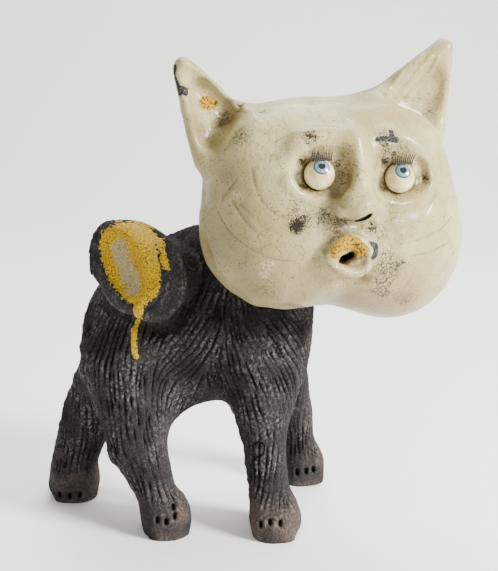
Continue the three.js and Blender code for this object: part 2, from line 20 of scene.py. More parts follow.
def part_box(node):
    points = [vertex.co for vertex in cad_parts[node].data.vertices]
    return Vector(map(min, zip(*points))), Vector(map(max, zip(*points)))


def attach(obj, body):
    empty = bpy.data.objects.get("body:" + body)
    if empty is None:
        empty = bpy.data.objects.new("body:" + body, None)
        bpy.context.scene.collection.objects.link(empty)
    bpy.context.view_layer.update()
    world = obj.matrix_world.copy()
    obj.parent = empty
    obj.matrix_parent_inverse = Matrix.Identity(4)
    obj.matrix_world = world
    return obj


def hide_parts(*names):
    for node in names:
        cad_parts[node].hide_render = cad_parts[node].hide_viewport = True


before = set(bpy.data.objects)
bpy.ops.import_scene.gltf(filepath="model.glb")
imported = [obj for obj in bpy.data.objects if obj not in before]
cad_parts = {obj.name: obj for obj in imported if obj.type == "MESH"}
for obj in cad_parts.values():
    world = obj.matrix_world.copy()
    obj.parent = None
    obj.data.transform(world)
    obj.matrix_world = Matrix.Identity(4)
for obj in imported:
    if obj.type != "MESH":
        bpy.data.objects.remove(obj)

LOG = logging.getLogger("raku_cat")
MM = 0.001
SEED = 20

Pixel = tuple[float, float]
Path = tuple[Pixel, ...]
Form = tuple[Path, float, float]  # where a tool passes, its width and its rise, both in millimetres
Spot = tuple[Pixel, float, float]  # a middle, a radius in millimetres and a strength
Colour = tuple[float, float, float, float]
Socket = bpy.types.NodeSocket
Values = dict[str | int, object]


class Side(Enum):
    """The cat's own left and right."""

    LEFT = "left"
    RIGHT = "right"

    @property
    def eye(self) -> str:
        """Return the name of this side's eyeball in the part."""
        return f"{self.value}_eye"


def rgb(red: float, green: float, blue: float) -> Colour:
    """Return a display colour, 0 to 255 a channel, as the linear colour that shaders take."""
    linear = [((c / 255 + 0.055) / 1.055) ** 2.4 if c > 10 else c / 3295 for c in (red, green, blue)]
    return (linear[0], linear[1], linear[2], 1.0)


@dataclass(frozen=True)
class Sight:
    """The camera's place and aim, and the way from a pixel of its frame to a point of the clay."""

    place: tuple[float, float, float] = (0.00587, -0.58973, 0.300)
    pitch_down: float = math.radians(14.1)
    focal_px: float = 1020.0
    width_px: int = 498
    height_px: int = 571
    sensor: float = 36.0
    clip_start: float = 0.01
    to_cat: float = 0.6
    turned_away: float = 0.3

    def ray(self, pixel: Pixel) -> Vector:
        """Return the unit direction in which a pixel looks."""
        across = (pixel[0] - self.width_px / 2) / self.focal_px
        up = (self.height_px / 2 - pixel[1]) / self.focal_px
        cos, sin = math.cos(self.pitch_down), math.sin(self.pitch_down)
        return Vector((across, cos + up * sin, -sin + up * cos)).normalized()

    def hit(self, tree: BVHTree, pixel: Pixel) -> Vector:
        """Return the point of a surface that a pixel shows.

        Args:
            tree: the surface.
            pixel: the pixel, in the frame's own pixels.

        Returns:
            The point, or the nearest one of the surface if the ray passes it by.
        """
        start, way = Vector(self.place), self.ray(pixel)
        found = tree.ray_cast(start, way)[0]
        if found is None:
            found = tree.find_nearest(start + way * self.to_cat)[0]
        return found

    def hits(self, tree: BVHTree, pixels: Path) -> np.ndarray:
        """Return the points of a surface that some pixels show, one row each."""
        return np.array([self.hit(tree, pixel) for pixel in pixels])

    def pixels(self, points: np.ndarray) -> np.ndarray:
        """Return the pixel that each point lies behind, one row each."""
        offset = points - np.array(self.place)
        cos, sin = math.cos(self.pitch_down), math.sin(self.pitch_down)
        depth = offset[:, 1] * cos - offset[:, 2] * sin
        up = offset[:, 1] * sin + offset[:, 2] * cos
        across = self.width_px / 2 + self.focal_px * offset[:, 0] / depth
        return np.stack([across, self.height_px / 2 - self.focal_px * up / depth], axis=1)

    def patch(self, clay: "Clay", outline: Path, edge_px: float, reach: float) -> np.ndarray:
        """Return how far inside an outline each point lies, as the camera sees it.

        Args:
            clay: the skin.
            outline: the corners of a closed shape, by pixel.
            edge_px: how wide its soft edge is.
            reach: how far behind the outline's own surface a point still counts.

        Returns:
            0 outside the outline and 1 inside it, for each point.
        """
        corners = np.array(outline)
        tree = clay.tree()
        around = self.hits(tree, outline)
        seen = self.pixels(clay.points)
        inside = np.zeros(len(seen), dtype=bool)
        distance = np.full(len(seen), np.inf)
        for a, b in zip(corners, np.roll(corners, -1, axis=0)):
            way = b - a
            share = np.clip((seen - a) @ way / (way @ way), 0, 1)
            distance = np.minimum(distance, np.linalg.norm(seen - a - share[:, None] * way, axis=1))
            if a[1] != b[1]:
                crosses = (seen[:, 1] > a[1]) != (seen[:, 1] > b[1])
                inside ^= crosses & (seen[:, 0] < a[0] + way[0] * (seen[:, 1] - a[1]) / way[1])
        depth = np.abs((clay.points - around.mean(axis=0))[:, 1])
        signed = np.where(inside, distance, -distance)
        facing = clay.normals()[:, 1] < self.turned_away
        return np.clip(signed / edge_px + 0.5, 0, 1) * (depth < reach) * facing

    def add_camera(self) -> None:
        """Make the camera and hand it to the scene."""
        data = bpy.data.cameras.new("camera")
        data.sensor_fit = "VERTICAL"
        data.sensor_height = self.sensor
        data.lens = self.sensor * self.focal_px / self.height_px
        data.clip_start = self.clip_start
        camera = bpy.data.objects.new("camera", data)
        camera.location = self.place
        camera.rotation_euler = (math.pi / 2 - self.pitch_down, 0, 0)
        bpy.context.scene.collection.objects.link(camera)
        bpy.context.scene.camera = camera


SIGHT = Sight()


def fade(distance: np.ndarray, width: float) -> np.ndarray:
    """Return 1 at no distance, falling smoothly to 0 at a width and beyond."""
    return np.clip(1 - (distance / width) ** 2, 0, 1) ** 2


def distance_to_path(points: np.ndarray, path: np.ndarray) -> np.ndarray:
    """Return how far each point is from a line through some places.

    Args:
        points: the points, one row each.
        path: the places, one row each. A single place is a dot.

    Returns:
        One distance for each point.
    """
    nearest = np.linalg.norm(points - path[0], axis=1)
    for start, end in zip(path[:-1], path[1:]):
        way = end - start
        share = np.clip((points - start) @ way / max(way @ way, 1e-12), 0, 1)
        nearest = np.minimum(nearest, np.linalg.norm(points - start - share[:, None] * way, axis=1))
    return nearest


def smooth_curve(path: np.ndarray, steps: int = 6) -> np.ndarray:
    """Return a rounded line through some places, with a few more points between each two."""
    if len(path) < 3:
        return path
    ends = np.vstack([2 * path[0] - path[1], path, 2 * path[-1] - path[-2]])
    rounded = []
    for a, b, c, d in zip(ends[:-3], ends[1:-2], ends[2:-1], ends[3:]):
        for step in range(steps):
            t = step / steps
            square, cube = 2 * a - 5 * b + 4 * c - d, 3 * b - 3 * c + d - a
            rounded.append(0.5 * (2 * b + (c - a) * t + square * t**2 + cube * t**3))
    return np.array([*rounded, path[-1]])


def ripple(points: np.ndarray, size: float, seed: float = 0.0) -> np.ndarray:
    """Return soft noise, about -1 to 1, whose lumps are about a size across, at each point."""
    offset = Vector((seed, seed * 0.7, seed * 1.3))
    return np.array([noise.noise(Vector(p) / size + offset) for p in points])


def middle_of(node: str) -> np.ndarray:
    """Return the middle of a solid's box."""
    return np.mean(np.array(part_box(node)), axis=0)


def add_object(name: str, shape: bmesh.types.BMesh) -> bpy.types.Object:
    """Turn a finished shape into an object of the scene, and let go of the shape."""
    mesh = bpy.data.meshes.new(name)
    shape.to_mesh(mesh)
    shape.free()
    made = bpy.data.objects.new(name, mesh)
    bpy.context.scene.collection.objects.link(made)
    return made


def hand_over(piece: bpy.types.Object, node: str, material: bpy.types.Material) -> None:
    """Let a finished piece stand in for its solid, and report it.

    Args:
        piece: the piece, in the part's frame.
        node: the solid that it stands for.
        material: what it is made of.
    """
    piece.data.materials.clear()
    piece.data.materials.append(material)
    piece.data.shade_smooth()
    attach(piece, "root")
    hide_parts(node)
    LOG.info("%s: %d points", piece.name, len(piece.data.vertices))


class Clay:
    """A closed skin that is worked as clay is, by moving its points."""

    weld: float = 0.02 * MM
    flat_angle: float = 0.5
    square_angle: float = 0.7
    rounding: int = 2

    def __init__(self, node: str, name: str, grain: float) -> None:
        """Copy a solid's skin, round its facets off and give it even, fine faces.

        Args:
            node: the solid that the piece stands for.
            name: the new piece's name.
            grain: the size of its faces.
        """
        self.node = node
        shape = bmesh.new()
        shape.from_mesh(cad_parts[node].data)
        bmesh.ops.remove_doubles(shape, verts=shape.verts, dist=self.weld)
        bmesh.ops.join_triangles(
            shape,
            faces=shape.faces,
            angle_face_threshold=self.flat_angle,
            angle_shape_threshold=self.square_angle,
        )
        self.piece = add_object(name, shape)
        rounding = self.piece.modifiers.new("rounding", "SUBSURF")
        rounding.levels = rounding.render_levels = self.rounding
        remesh = self.piece.modifiers.new("grain", "REMESH")
        remesh.mode = "VOXEL"
        remesh.voxel_size = grain
        self.apply_modifiers()
        self.read()

    def apply_modifiers(self) -> None:
        """Put what the modifiers make into the mesh itself."""
        ready = self.piece.evaluated_get(bpy.context.evaluated_depsgraph_get())
        mesh = bpy.data.meshes.new_from_object(ready)
        self.piece.modifiers.clear()
        self.piece.data = mesh

    def read(self) -> None:
        """Take the points and edges from the mesh."""
        mesh = self.piece.data
        count = len(mesh.vertices)
        self.points = np.empty(count * 3)
        mesh.vertices.foreach_get("co", self.points)
        self.points = self.points.reshape(-1, 3)
        self.edges = np.empty(len(mesh.edges) * 2, dtype=np.int64)
        mesh.edges.foreach_get("vertices", self.edges)
        self.edges = self.edges.reshape(-1, 2)
        self.valence = np.maximum(np.bincount(self.edges.ravel(), minlength=count), 1)

    def write(self) -> None:
        """Put the points back into the mesh."""
        self.piece.data.vertices.foreach_set("co", self.points.ravel())
        self.piece.data.update()

    def normals(self) -> np.ndarray:
        """Return the outward direction at each point."""
        self.write()
        out = np.empty(len(self.points) * 3)
        self.piece.data.vertex_normals.foreach_get("vector", out)
        return out.reshape(-1, 3)

    def tree(self) -> BVHTree:
        """Return the skin as it is now, for finding places on it."""
        self.write()
        self.piece.data.calc_loop_triangles()
        corners = np.empty(len(self.piece.data.loop_triangles) * 3, dtype=np.int64)
        self.piece.data.loop_triangles.foreach_get("vertices", corners)
        return BVHTree.FromPolygons(self.points.tolist(), corners.reshape(-1, 3).tolist())

    def spread(self, values: np.ndarray, rounds: int, amount: float = 0.5) -> np.ndarray:
        """Return values evened out over neighbouring points.

        Args:
            values: one value, or one row, for each point.
            rounds: how often each point takes up its neighbours' mean.
            amount: how much of the mean it takes each time.
        """
        flat = values.reshape(len(values), -1).copy()
        a, b = self.edges.T
        for _ in range(rounds):
            for column in flat.T:
                total = np.bincount(a, column[b], len(column)) + np.bincount(b, column[a], len(column))
                column += amount * (total / self.valence - column)
        return flat.reshape(values.shape)

    def relax(self, rounds: int, where: np.ndarray | None = None) -> None:
        """Smooth the skin.

        Args:
            rounds: how often.
            where: 0 to 1 for each point, or the whole skin.
        """
        moved = self.spread(self.points, rounds) - self.points
        self.points += moved if where is None else moved * where[:, None]

    def push(self, amount: np.ndarray) -> None:
        """Move each point outwards by its own amount."""
        self.points += self.normals() * amount[:, None]

    def near(self, path: np.ndarray, width: float) -> np.ndarray:
        """Return 1 for points on a line through some places, falling to 0 at a width from it."""
        return fade(distance_to_path(self.points, path), width)

    def stroke(self, path: np.ndarray, width: float, rise: float) -> None:
        """Draw a tool along the skin: a ridge, or a groove where the rise is below 0."""
        self.push(rise * self.near(path, width))

    def model(self, tree: BVHTree, forms: tuple[Form, ...]) -> None:
        """Press and raise some forms in turn, with their places looked up on the skin as it was."""
        for pixels, width, rise in forms:
            self.stroke(smooth_curve(SIGHT.hits(tree, pixels)), width * MM, rise * MM)

    def poke(self, path: np.ndarray, pixel: Pixel, width: float, depth: float) -> np.ndarray:
        """Press a tool straight in from where the camera stands.

        Args:
            path: the places that it touches.
            pixel: the middle of them.
            width: its radius.
            depth: how far it goes in.

        Returns:
            How far each point has gone in, 0 to 1.
        """
        cover = self.near(path, width)
        self.points += (depth * cover)[:, None] * np.array(SIGHT.ray(pixel))
        return cover

    def ridges(self, rounds: int = 12, top: float = 97) -> np.ndarray:
        """Return how far each point stands out of its surroundings.

        Args:
            rounds: how far around a point its surroundings reach.
            top: the percentile of all heights that counts as a full ridge.

        Returns:
            0 to 1 for each point.
        """
        height = np.sum((self.points - self.spread(self.points, rounds)) * self.normals(), axis=1)
        return np.clip(height / np.percentile(height, top), 0, 1)

    def paint(self, **values: np.ndarray) -> None:
        """Keep named values for each point, for the material to read."""
        for name, each in values.items():
            layer = self.piece.data.attributes.new(name, "FLOAT", "POINT")
            layer.data.foreach_set("value", each.astype(np.float32))

    def finish(self, slot: str, material: bpy.types.Material) -> None:
        """Hand the piece over in place of its solid, with its material."""
        self.write()
        hand_over(self.piece, self.node, material)


def spots(clay: Clay, tree: BVHTree, places: tuple[Spot, ...]) -> np.ndarray:
    """Return how strongly some round spots cover each point.

    Args:
        clay: the skin.
        tree: the skin before it was worked.
        places: each spot's pixel, its radius in millimetres and its strength.
    """
    cover = np.zeros(len(clay.points))
    for pixel, width, strength in places:
        place = SIGHT.hits(tree, (pixel,))[0]
        cover = np.maximum(cover, strength * fade(np.linalg.norm(clay.points - place, axis=1), width * MM))
    return cover


class Spacing:
    """Places kept in cubes of space, to tell quickly whether a new one is clear of them all."""

    def __init__(self, gap: float) -> None:
        """Take the widest gap that is asked for, which is also the size of a cube."""
        self.gap = gap
        self.cells: dict[tuple[int, ...], list[Vector]] = {}

    def cell(self, place: Vector) -> tuple[int, ...]:
        """Return the cube that a place lies in."""
        return tuple(int(c // self.gap) for c in place)

    def keep(self, place: Vector) -> None:
        """Keep a place."""
        self.cells.setdefault(self.cell(place), []).append(place)

    def is_clear(self, place: Vector, share: float = 1.0) -> bool:
        """Return whether a place is more than a share of the gap from every place that is kept."""
        x, y, z = self.cell(place)
        near = (-1, 0, 1)
        around = [(x + i, y + j, z + k) for i in near for j in near for k in near]
        kept = (other for cell in around for other in self.cells.get(cell, ()))
        return all((place - other).length > share * self.gap for other in kept)


@dataclass
class Comb:
    """A pointed tool that scores fur into the clay in long strokes that keep clear of each other."""

    groove: float = 1.25 * MM
    depth: float = 1.5 * MM
    burr: float = 0.45 * MM
    burr_place: float = 1.15
    burr_width: float = 0.45
    step: float = 1.3 * MM
    apart: float = 2.7 * MM
    closest: float = 0.7
    shortest: float = 16 * MM
    longest: float = 56 * MM
    waver: float = 0.22
    waver_size: float = 9 * MM
    force: float = 0.85
    least_force: float = 0.3
    force_swing: float = 1.1
    force_size: float = 13 * MM
    lead_in: int = 3
    lead_out: int = 4

    def trace(self, tree: BVHTree, start: Vector, flow: "Flow", length: float, sign: int) -> list[Vector]:
        """Return the places that the tool passes.

        Args:
            tree: the skin.
            start: where the tool goes in.
            flow: which way the fur runs.
            length: how far the tool is drawn.
            sign: 1 along the fur and -1 against it.
        """
        path = [start]
        place, way = start, None
        while len(path) * self.step < length:
            normal = tree.find_nearest(place)[1]
            ahead = flow.at(place, normal) * sign
            ahead += normal.cross(ahead) * self.waver * noise.noise(place / self.waver_size)
            way = ahead if way is None else (way * 0.5 + ahead * 0.5).normalized()
            place = tree.find_nearest(place + way * self.step)[0]
            path.append(place)
        return path

    def strokes(self, tree: BVHTree, seeds: list[Vector], flow: "Flow") -> list[list[Vector]]:
        """Return every stroke as the places that it passes.

        Args:
            tree: the skin.
            seeds: where strokes may go in.
            flow: which way the fur runs.
        """
        rng = np.random.default_rng(SEED)
        scored = Spacing(self.apart)
        strokes = []
        for seed in seeds:
            if not scored.is_clear(seed):
                continue
            length = rng.uniform(self.shortest, self.longest)
            halves = []
            for sign in (-1, 1):
                path = self.trace(tree, seed, flow, length, sign)
                clear = [scored.is_clear(place, self.closest) for place in path]
                halves.append(path[: clear.index(False)] if False in clear else path)
            stroke = halves[0][:0:-1] + halves[1]
            for place in stroke:
                scored.keep(place)
            strokes.append(stroke)
        return strokes

    def score(self, clay: Clay, seeds: list[Vector], flow: "Flow", calm: np.ndarray) -> np.ndarray:
        """Comb the clay.

        Args:
            clay: what is combed.
            seeds: where strokes may go in.
            flow: which way the fur runs.
            calm: 0 to 1 for each point, where 1 is left smooth.

        Returns:
            How deep each point lies in a groove, 0 to 1.
        """
        marks: list[tuple[Vector, float]] = []
        for stroke in self.strokes(clay.tree(), seeds, flow):
            for i, place in enumerate(stroke):
                ends = min(1.0, (i + 1) / self.lead_in, (len(stroke) - i) / self.lead_out)
                force = self.force + self.force_swing * noise.noise(place / self.force_size)
                marks.append((place, min(1.0, max(self.least_force, force)) * ends))
        nearest = KDTree(len(marks))
        for i, (place, _) in enumerate(marks):
            nearest.insert(place, i)
        nearest.balance()
        found = [nearest.find(p)[1:] for p in clay.points]
        distance = np.array([d for _, d in found])
        force = np.array([marks[i][1] for i, _ in found]) * (1 - calm)
        groove = force * fade(distance, self.groove)
        past = (distance - self.burr_place * self.groove) / (self.burr_width * self.groove)
        burr = force * np.exp(-(past**2))
        clay.push(self.burr * burr - self.depth * groove)
        return groove


class Flow:
    """Which way the fur runs: the way of the nearest guides, laid along the skin."""

    blur: float = 8 * MM

    def __init__(self, guides: list[tuple[Vector, Vector]]) -> None:
        """Take the guides, each a place and a way."""
        self.places = np.array([place for place, _ in guides])
        self.ways = np.array([way.normalized() for _, way in guides])

    def at(self, place: Vector, normal: Vector) -> Vector:
        """Return the unit direction of the fur at a place whose outward direction is given."""
        nearness = 1 / (np.sum((self.places - np.array(place)) ** 2, axis=1) + self.blur**2) ** 1.5
        way = Vector(nearness @ self.ways)
        way -= normal * way.dot(normal)
        return way.normalized() if way.length > 1e-9 else normal.orthogonal().normalized()


@dataclass
class Body:
    """The unglazed body: trunk, legs and the stump of the tail, combed all over but for the paws."""

    grain: float = 1.13 * MM
    paw_height: float = 23 * MM
    claw_width: float = 2.1 * MM
    claw_depth: float = 3.4 * MM
    claw_half_px: float = 1.6
    sole_drop: float = 6 * MM
    sole_edge: float = 2 * MM
    ankle_edge: float = 6 * MM
    ankle_rise: tuple[float, float] = (1.6, 1.4)
    belly_tilt: tuple[float, float] = (0.55, 0.3)
    facet_tilt: tuple[float, float] = (0.62, 0.2)
    facet_top: tuple[float, float] = (0.09, 0.02)
    facet_calm: float = 0.85
    middle: tuple[float, float] = (0.45, 0.55)
    smoothing: int = 14
    neck_from: tuple[float, float] = (-0.05, 0.13)
    neck_reach: float = 6 * MM
    neck_gap: float = 0.4 * MM
    grains: tuple[tuple[float, float], ...] = ((17 * MM, 3), (4.2 * MM, 5), (2.4 * MM, 8))
    swell: float = 0.55
    tear: float = 0.45
    crumble: float = 0.7
    seed_gap: float = 2.2 * MM
    knot_width: float = 1.2 * MM
    knot_depth: float = 1.3 * MM
    dish_edge_px: float = 9
    dish_reach: float = 30 * MM
    drip_width: float = 3.1 * MM
    drip_rise: float = 0.35 * MM
    smear_width: float = 5.5 * MM
    smear_cover: float = 0.7
    worn_width: float = 9.5 * MM
    ring_width: float = 1.1 * MM
    ring_depth: float = 0.7 * MM
    tail_middle: Pixel = (138, 272)
    tail_shift: tuple[float, float, float] = (0.004, 0.012, 0)
    tail_radius: float = 46 * MM
    tail_edge: float = 0.22
    # the share of the painted shade that is taken off the tail
    tail_shade_cut: float = 0.75
    rump_width: float = 8 * MM
    rump_rise: float = 2.6 * MM
    comb: Comb = field(default_factory=Comb)
    guides: tuple[tuple[Pixel, Pixel], ...] = (
        ((100, 345), (94, 372)), ((88, 360), (84, 390)), ((98, 375), (108, 425)), ((120, 372), (128, 425)),
        ((140, 372), (144, 420)), ((152, 390), (155, 432)), ((108, 430), (136, 488)),
        ((126, 432), (152, 494)), ((146, 440), (162, 492)), ((215, 272), (200, 312)),
        ((200, 312), (172, 350)), ((226, 292), (212, 328)), ((212, 328), (176, 366)),
        ((196, 345), (162, 372)), ((200, 366), (164, 384)), ((180, 322), (160, 352)),
        ((150, 330), (148, 352)), ((228, 302), (240, 340)), ((240, 340), (266, 388)),
        ((246, 312), (276, 344)), ((276, 344), (297, 376)), ((264, 314), (300, 352)),
        ((290, 320), (306, 350)), ((232, 362), (246, 400)), ((270, 372), (288, 402)),
        ((254, 402), (262, 440)), ((262, 440), (262, 476)), ((262, 476), (256, 502)),
        ((272, 402), (279, 434)), ((279, 434), (276, 466)), ((276, 466), (269, 502)),
        ((246, 440), (250, 482)), ((68, 415), (57, 476)), ((80, 432), (77, 482)), ((94, 446), (89, 480)),
        ((300, 424), (302, 462)), ((190, 226), (186, 252)), ((172, 236), (170, 254)),
        ((112, 300), (108, 332)), ((220, 372), (232, 396)),
    )
    claws: Path = (
        (157.5, 520), (166, 521.5), (174.5, 516), (173, 507), (261, 524), (270, 522), (280, 523),
        (250, 518), (297, 472), (306, 471), (313, 469), (60, 494), (70, 496), (80, 495),
    )
    dish: Path = (
        (101, 244), (104, 231), (118, 223), (136, 223), (150, 229), (155, 240), (157, 252), (160, 266),
        (160, 284), (155, 297), (146, 304), (141, 316), (135, 316), (133, 304), (122, 295), (111, 281),
        (104, 264),
    )
    drip: Path = ((138, 308), (137, 322), (134, 334), (134, 345), (136, 356))
    smear: Path = ((155, 236), (162, 250), (167, 266))
    worn: Path = ((116, 247), (119, 258), (126, 274), (131, 287))
    ring: Path = (
        (150, 280), (154, 280.5), (156, 285), (153.5, 289), (150, 288), (149, 284), (150, 280),
    )
    rump_step: Path = ((84, 346), (80, 362), (78, 378))
    forms: tuple[Form, ...] = (
        (((315, 450), (318, 458), (317, 464)), 6.0, 1.8),
        (((130, 309), (140, 324), (156, 330), (173, 325), (187, 308), (194, 286), (189, 262)), 7.0, -4.5),
        (((138, 311), (154, 316), (167, 311), (178, 297), (181, 279), (177, 262), (166, 244)), 6.5, 3.2),
        (((97, 245), (100, 230), (111, 222), (128, 222), (148, 228), (164, 238)), 5.5, 1.8),
        (((100, 262), (106, 279), (116, 293), (128, 303)), 5.0, 1.6),
        (((94, 280), (104, 296), (116, 308), (126, 316)), 5.0, -2.4),
        (((161, 256), (165, 280), (158, 302), (144, 312)), 2.6, -1.8),
        (((97, 290), (92, 305), (88, 320), (87, 331)), 9.0, -3.4), (((52, 486), (50, 496)), 9.0, 1.8),
        (((120, 246), (134, 282)), 15.0, -3.2),
    )
    # Painted shade: spots under the head, the tail and the chest, and between the legs.
    shadows: tuple[Spot, ...] = (
        ((196, 262), 22, 1.0), ((200, 285), 24, 1.0), ((192, 312), 20, 0.8), ((180, 325), 14, 0.9),
        ((160, 334), 12, 0.8), ((136, 322), 9, 0.8), ((112, 306), 9, 0.7), ((222, 312), 24, 0.9),
        ((250, 318), 24, 0.9), ((280, 322), 22, 0.9), ((302, 330), 18, 0.9), ((210, 350), 18, 0.4),
        ((192, 372), 22, 0.7), ((215, 375), 18, 0.6), ((240, 380), 12, 0.5), ((180, 345), 14, 0.5),
        ((230, 395), 12, 0.7), ((296, 400), 16, 0.5), ((96, 445), 14, 0.5), ((298, 446), 18, 0.5),
    )
    knot: Path = (
        (252, 446), (258, 442), (264, 446), (263, 454), (257, 457), (252, 463), (255, 470),
    )

    def build(self, head: BVHTree) -> Clay:
        """Make the body.

        Args:
            head: the finished head, which the neck stops short of.

        Returns:
            The piece, with its values painted.
        """
        clay = Clay("body", "body_clay", self.grain)
        self.drop_soles(clay)
        clay.relax(self.smoothing)
        tree = clay.tree()
        flow = Flow(self.all_guides(tree))
        calm = self.calm(clay)
        gilt, worn = self.gilding(clay, tree)
        tail = self.tail_cover(clay, tree)
        calm = np.maximum(calm, np.maximum(np.clip(gilt * 3, 0, 1), tail))
        clay.stroke(SIGHT.hits(tree, self.rump_step), self.rump_width, self.rump_rise)
        clay.model(tree, self.forms)
        self.lumps(clay, calm)
        groove = self.comb.score(clay, self.seeds(clay, calm), flow, calm)
        groove = np.maximum(groove, self.draw_knot(clay, tree))
        pits = self.claw_pits(clay, tree)
        self.seat_neck(clay, head)
        # Painted shade under the head, the tail and the chest, mostly taken off the tail itself.
        smoke = spots(clay, tree, self.shadows) * (1 - self.tail_shade_cut * tail)
        clay.paint(groove=np.maximum(groove, pits), ridge=clay.ridges(), smoke=smoke)
        clay.paint(paw=self.paws(clay), gilt=gilt, worn=worn)
        clay.write()
        self.cut_soles(clay)
        return clay

    def drop_soles(self, clay: Clay) -> None:
        """Let the paws down through the floor, so that the cut leaves a crisp edge."""
        low = np.clip(1 - clay.points[:, 2] / self.sole_edge, 0, 1)
        clay.points[:, 2] -= low * self.sole_drop

    def cut_soles(self, clay: Clay) -> None:
        """Cut the paws off flat at the floor and close them."""
        shape = bmesh.new()
        shape.from_mesh(clay.piece.data)
        everything = [*shape.verts, *shape.edges, *shape.faces]
        bmesh.ops.bisect_plane(
            shape, geom=everything, dist=1e-6, plane_co=(0, 0, 0), plane_no=(0, 0, -1), clear_outer=True
        )
        rim = [edge for edge in shape.edges if edge.is_boundary]
        bmesh.ops.triangulate(shape, faces=bmesh.ops.holes_fill(shape, edges=rim)["faces"])
        shape.to_mesh(clay.piece.data)
        shape.free()
        clay.read()

    def all_guides(self, tree: BVHTree) -> list[tuple[Vector, Vector]]:
        """Return the guides on the near side, and the same ones on the far side."""
        near = [(SIGHT.hit(tree, a), SIGHT.hit(tree, b)) for a, b in self.guides]
        low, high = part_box("body")
        middle = self.middle[0] * low[1] + self.middle[1] * high[1]
        guides = []
        for start, end in near:
            guides.append((start.lerp(end, 0.5), end - start))
            far_start, far_end = (Vector((p.x, 2 * middle - p.y, p.z)) for p in (start, end))
            place = tree.find_nearest(far_start.lerp(far_end, 0.5))[0]
            guides.append((place, far_end - far_start))
        return guides

    def calm(self, clay: Clay) -> np.ndarray:
        """Return 1 where the clay is left smooth: paws, the belly's underside, patches of the legs."""
        height, normals = clay.points[:, 2], clay.normals()
        paws = np.clip((self.paw_height - height) / self.ankle_edge, 0, 1)
        tilt, edge = self.belly_tilt
        belly = np.clip(-normals[:, 2] - tilt, 0, edge) / edge
        tilt, edge = self.facet_tilt
        top, top_edge = self.facet_top
        facets = np.clip(normals[:, 0] - tilt, 0, edge) / edge * np.clip((top - height) / top_edge, 0, 1)
        return np.clip(np.maximum(np.maximum(paws, belly), self.facet_calm * facets), 0, 1)

    def paws(self, clay: Clay) -> np.ndarray:
        """Return how far down the leg each point is, 0 above the ankle and 1 at the floor."""
        top, span = (rise * self.paw_height for rise in self.ankle_rise)
        return np.clip((top - clay.points[:, 2]) / span, 0, 1)

    def lumps(self, clay: Clay, calm: np.ndarray) -> None:
        """Give the clay its uneven, hand-pressed surface, crumbled where the comb has dragged."""
        broad, torn, crumbs = (ripple(clay.points, size, seed) for size, seed in self.grains)
        crumbs = np.clip(crumbs, -0.1, 1)
        rough = 1 - 0.7 * calm
        clay.push(self.swell * MM * broad + (self.tear * torn + self.crumble * crumbs) * MM * rough)

    def tail_cover(self, clay: Clay, tree: BVHTree) -> np.ndarray:
        """Return 1 on the stump of the tail, which is only sponged and not combed."""
        middle = np.array(SIGHT.hit(tree, self.tail_middle))
        distance = np.linalg.norm(clay.points - middle - self.tail_shift, axis=1)
        return fade(distance, self.tail_radius) > self.tail_edge

    def draw_knot(self, clay: Clay, tree: BVHTree) -> np.ndarray:
        """Draw the curl at the right elbow and return how deep each point lies in it, 0 to 1."""
        depth = clay.near(smooth_curve(SIGHT.hits(tree, self.knot)), self.knot_width)
        clay.push(-self.knot_depth * depth)
        return depth

    def seeds(self, clay: Clay, calm: np.ndarray) -> list[Vector]:
        """Return where the comb goes in: evenly scattered places that aren't left smooth."""
        rng = np.random.default_rng(SEED + 1)
        chosen: list[Vector] = []
        kept = Spacing(self.seed_gap)
        for i in rng.permutation(len(clay.points)):
            place = Vector(clay.points[i])
            if calm[i] <= 0.5 and kept.is_clear(place):
                kept.keep(place)
                chosen.append(place)
        return chosen

    def gilding(self, clay: Clay, tree: BVHTree) -> tuple[np.ndarray, np.ndarray]:
        """Gild the tail's dish, and let a drip run down from it.

        Returns:
            The gold's cover and its worn, silvery places, for each point.
        """
        dish = SIGHT.patch(clay, self.dish, self.dish_edge_px, self.dish_reach)
        drip, smear = (smooth_curve(SIGHT.hits(tree, path)) for path in (self.drip, self.smear))
        run = clay.near(drip, self.drip_width)
        clay.push(self.drip_rise * run)
        ring = clay.near(SIGHT.hits(tree, self.ring), self.ring_width)
        clay.push(-self.ring_depth * ring)
        gilt = np.maximum(dish, np.maximum(run, self.smear_cover * clay.near(smear, self.smear_width)))
        return gilt, clay.near(SIGHT.hits(tree, self.worn), self.worn_width)

    def claw_pits(self, clay: Clay, tree: BVHTree) -> np.ndarray:
        """Prick the claws into the paws and return how deep each point lies in one, 0 to 1."""
        depth = np.zeros(len(clay.points))
        for pixel in self.claws:
            x, y = pixel
            place = SIGHT.hits(tree, ((x, y - self.claw_half_px), (x, y + self.claw_half_px)))
            depth = np.maximum(depth, clay.poke(place, pixel, self.claw_width, self.claw_depth))
        return depth

    def seat_neck(self, clay: Clay, head: BVHTree) -> None:
        """Keep the neck clear of the head that sits on it."""
        back, bottom = self.neck_from
        for i, point in enumerate(clay.points):
            if point[2] < bottom or point[0] < back:
                continue
            place, normal = head.find_nearest(Vector(point), self.neck_reach)[:2]
            if place is None:
                continue
            height = (Vector(point) - place).dot(normal)
            if height < self.neck_gap:
                clay.points[i] += np.array(normal) * (self.neck_gap - height)


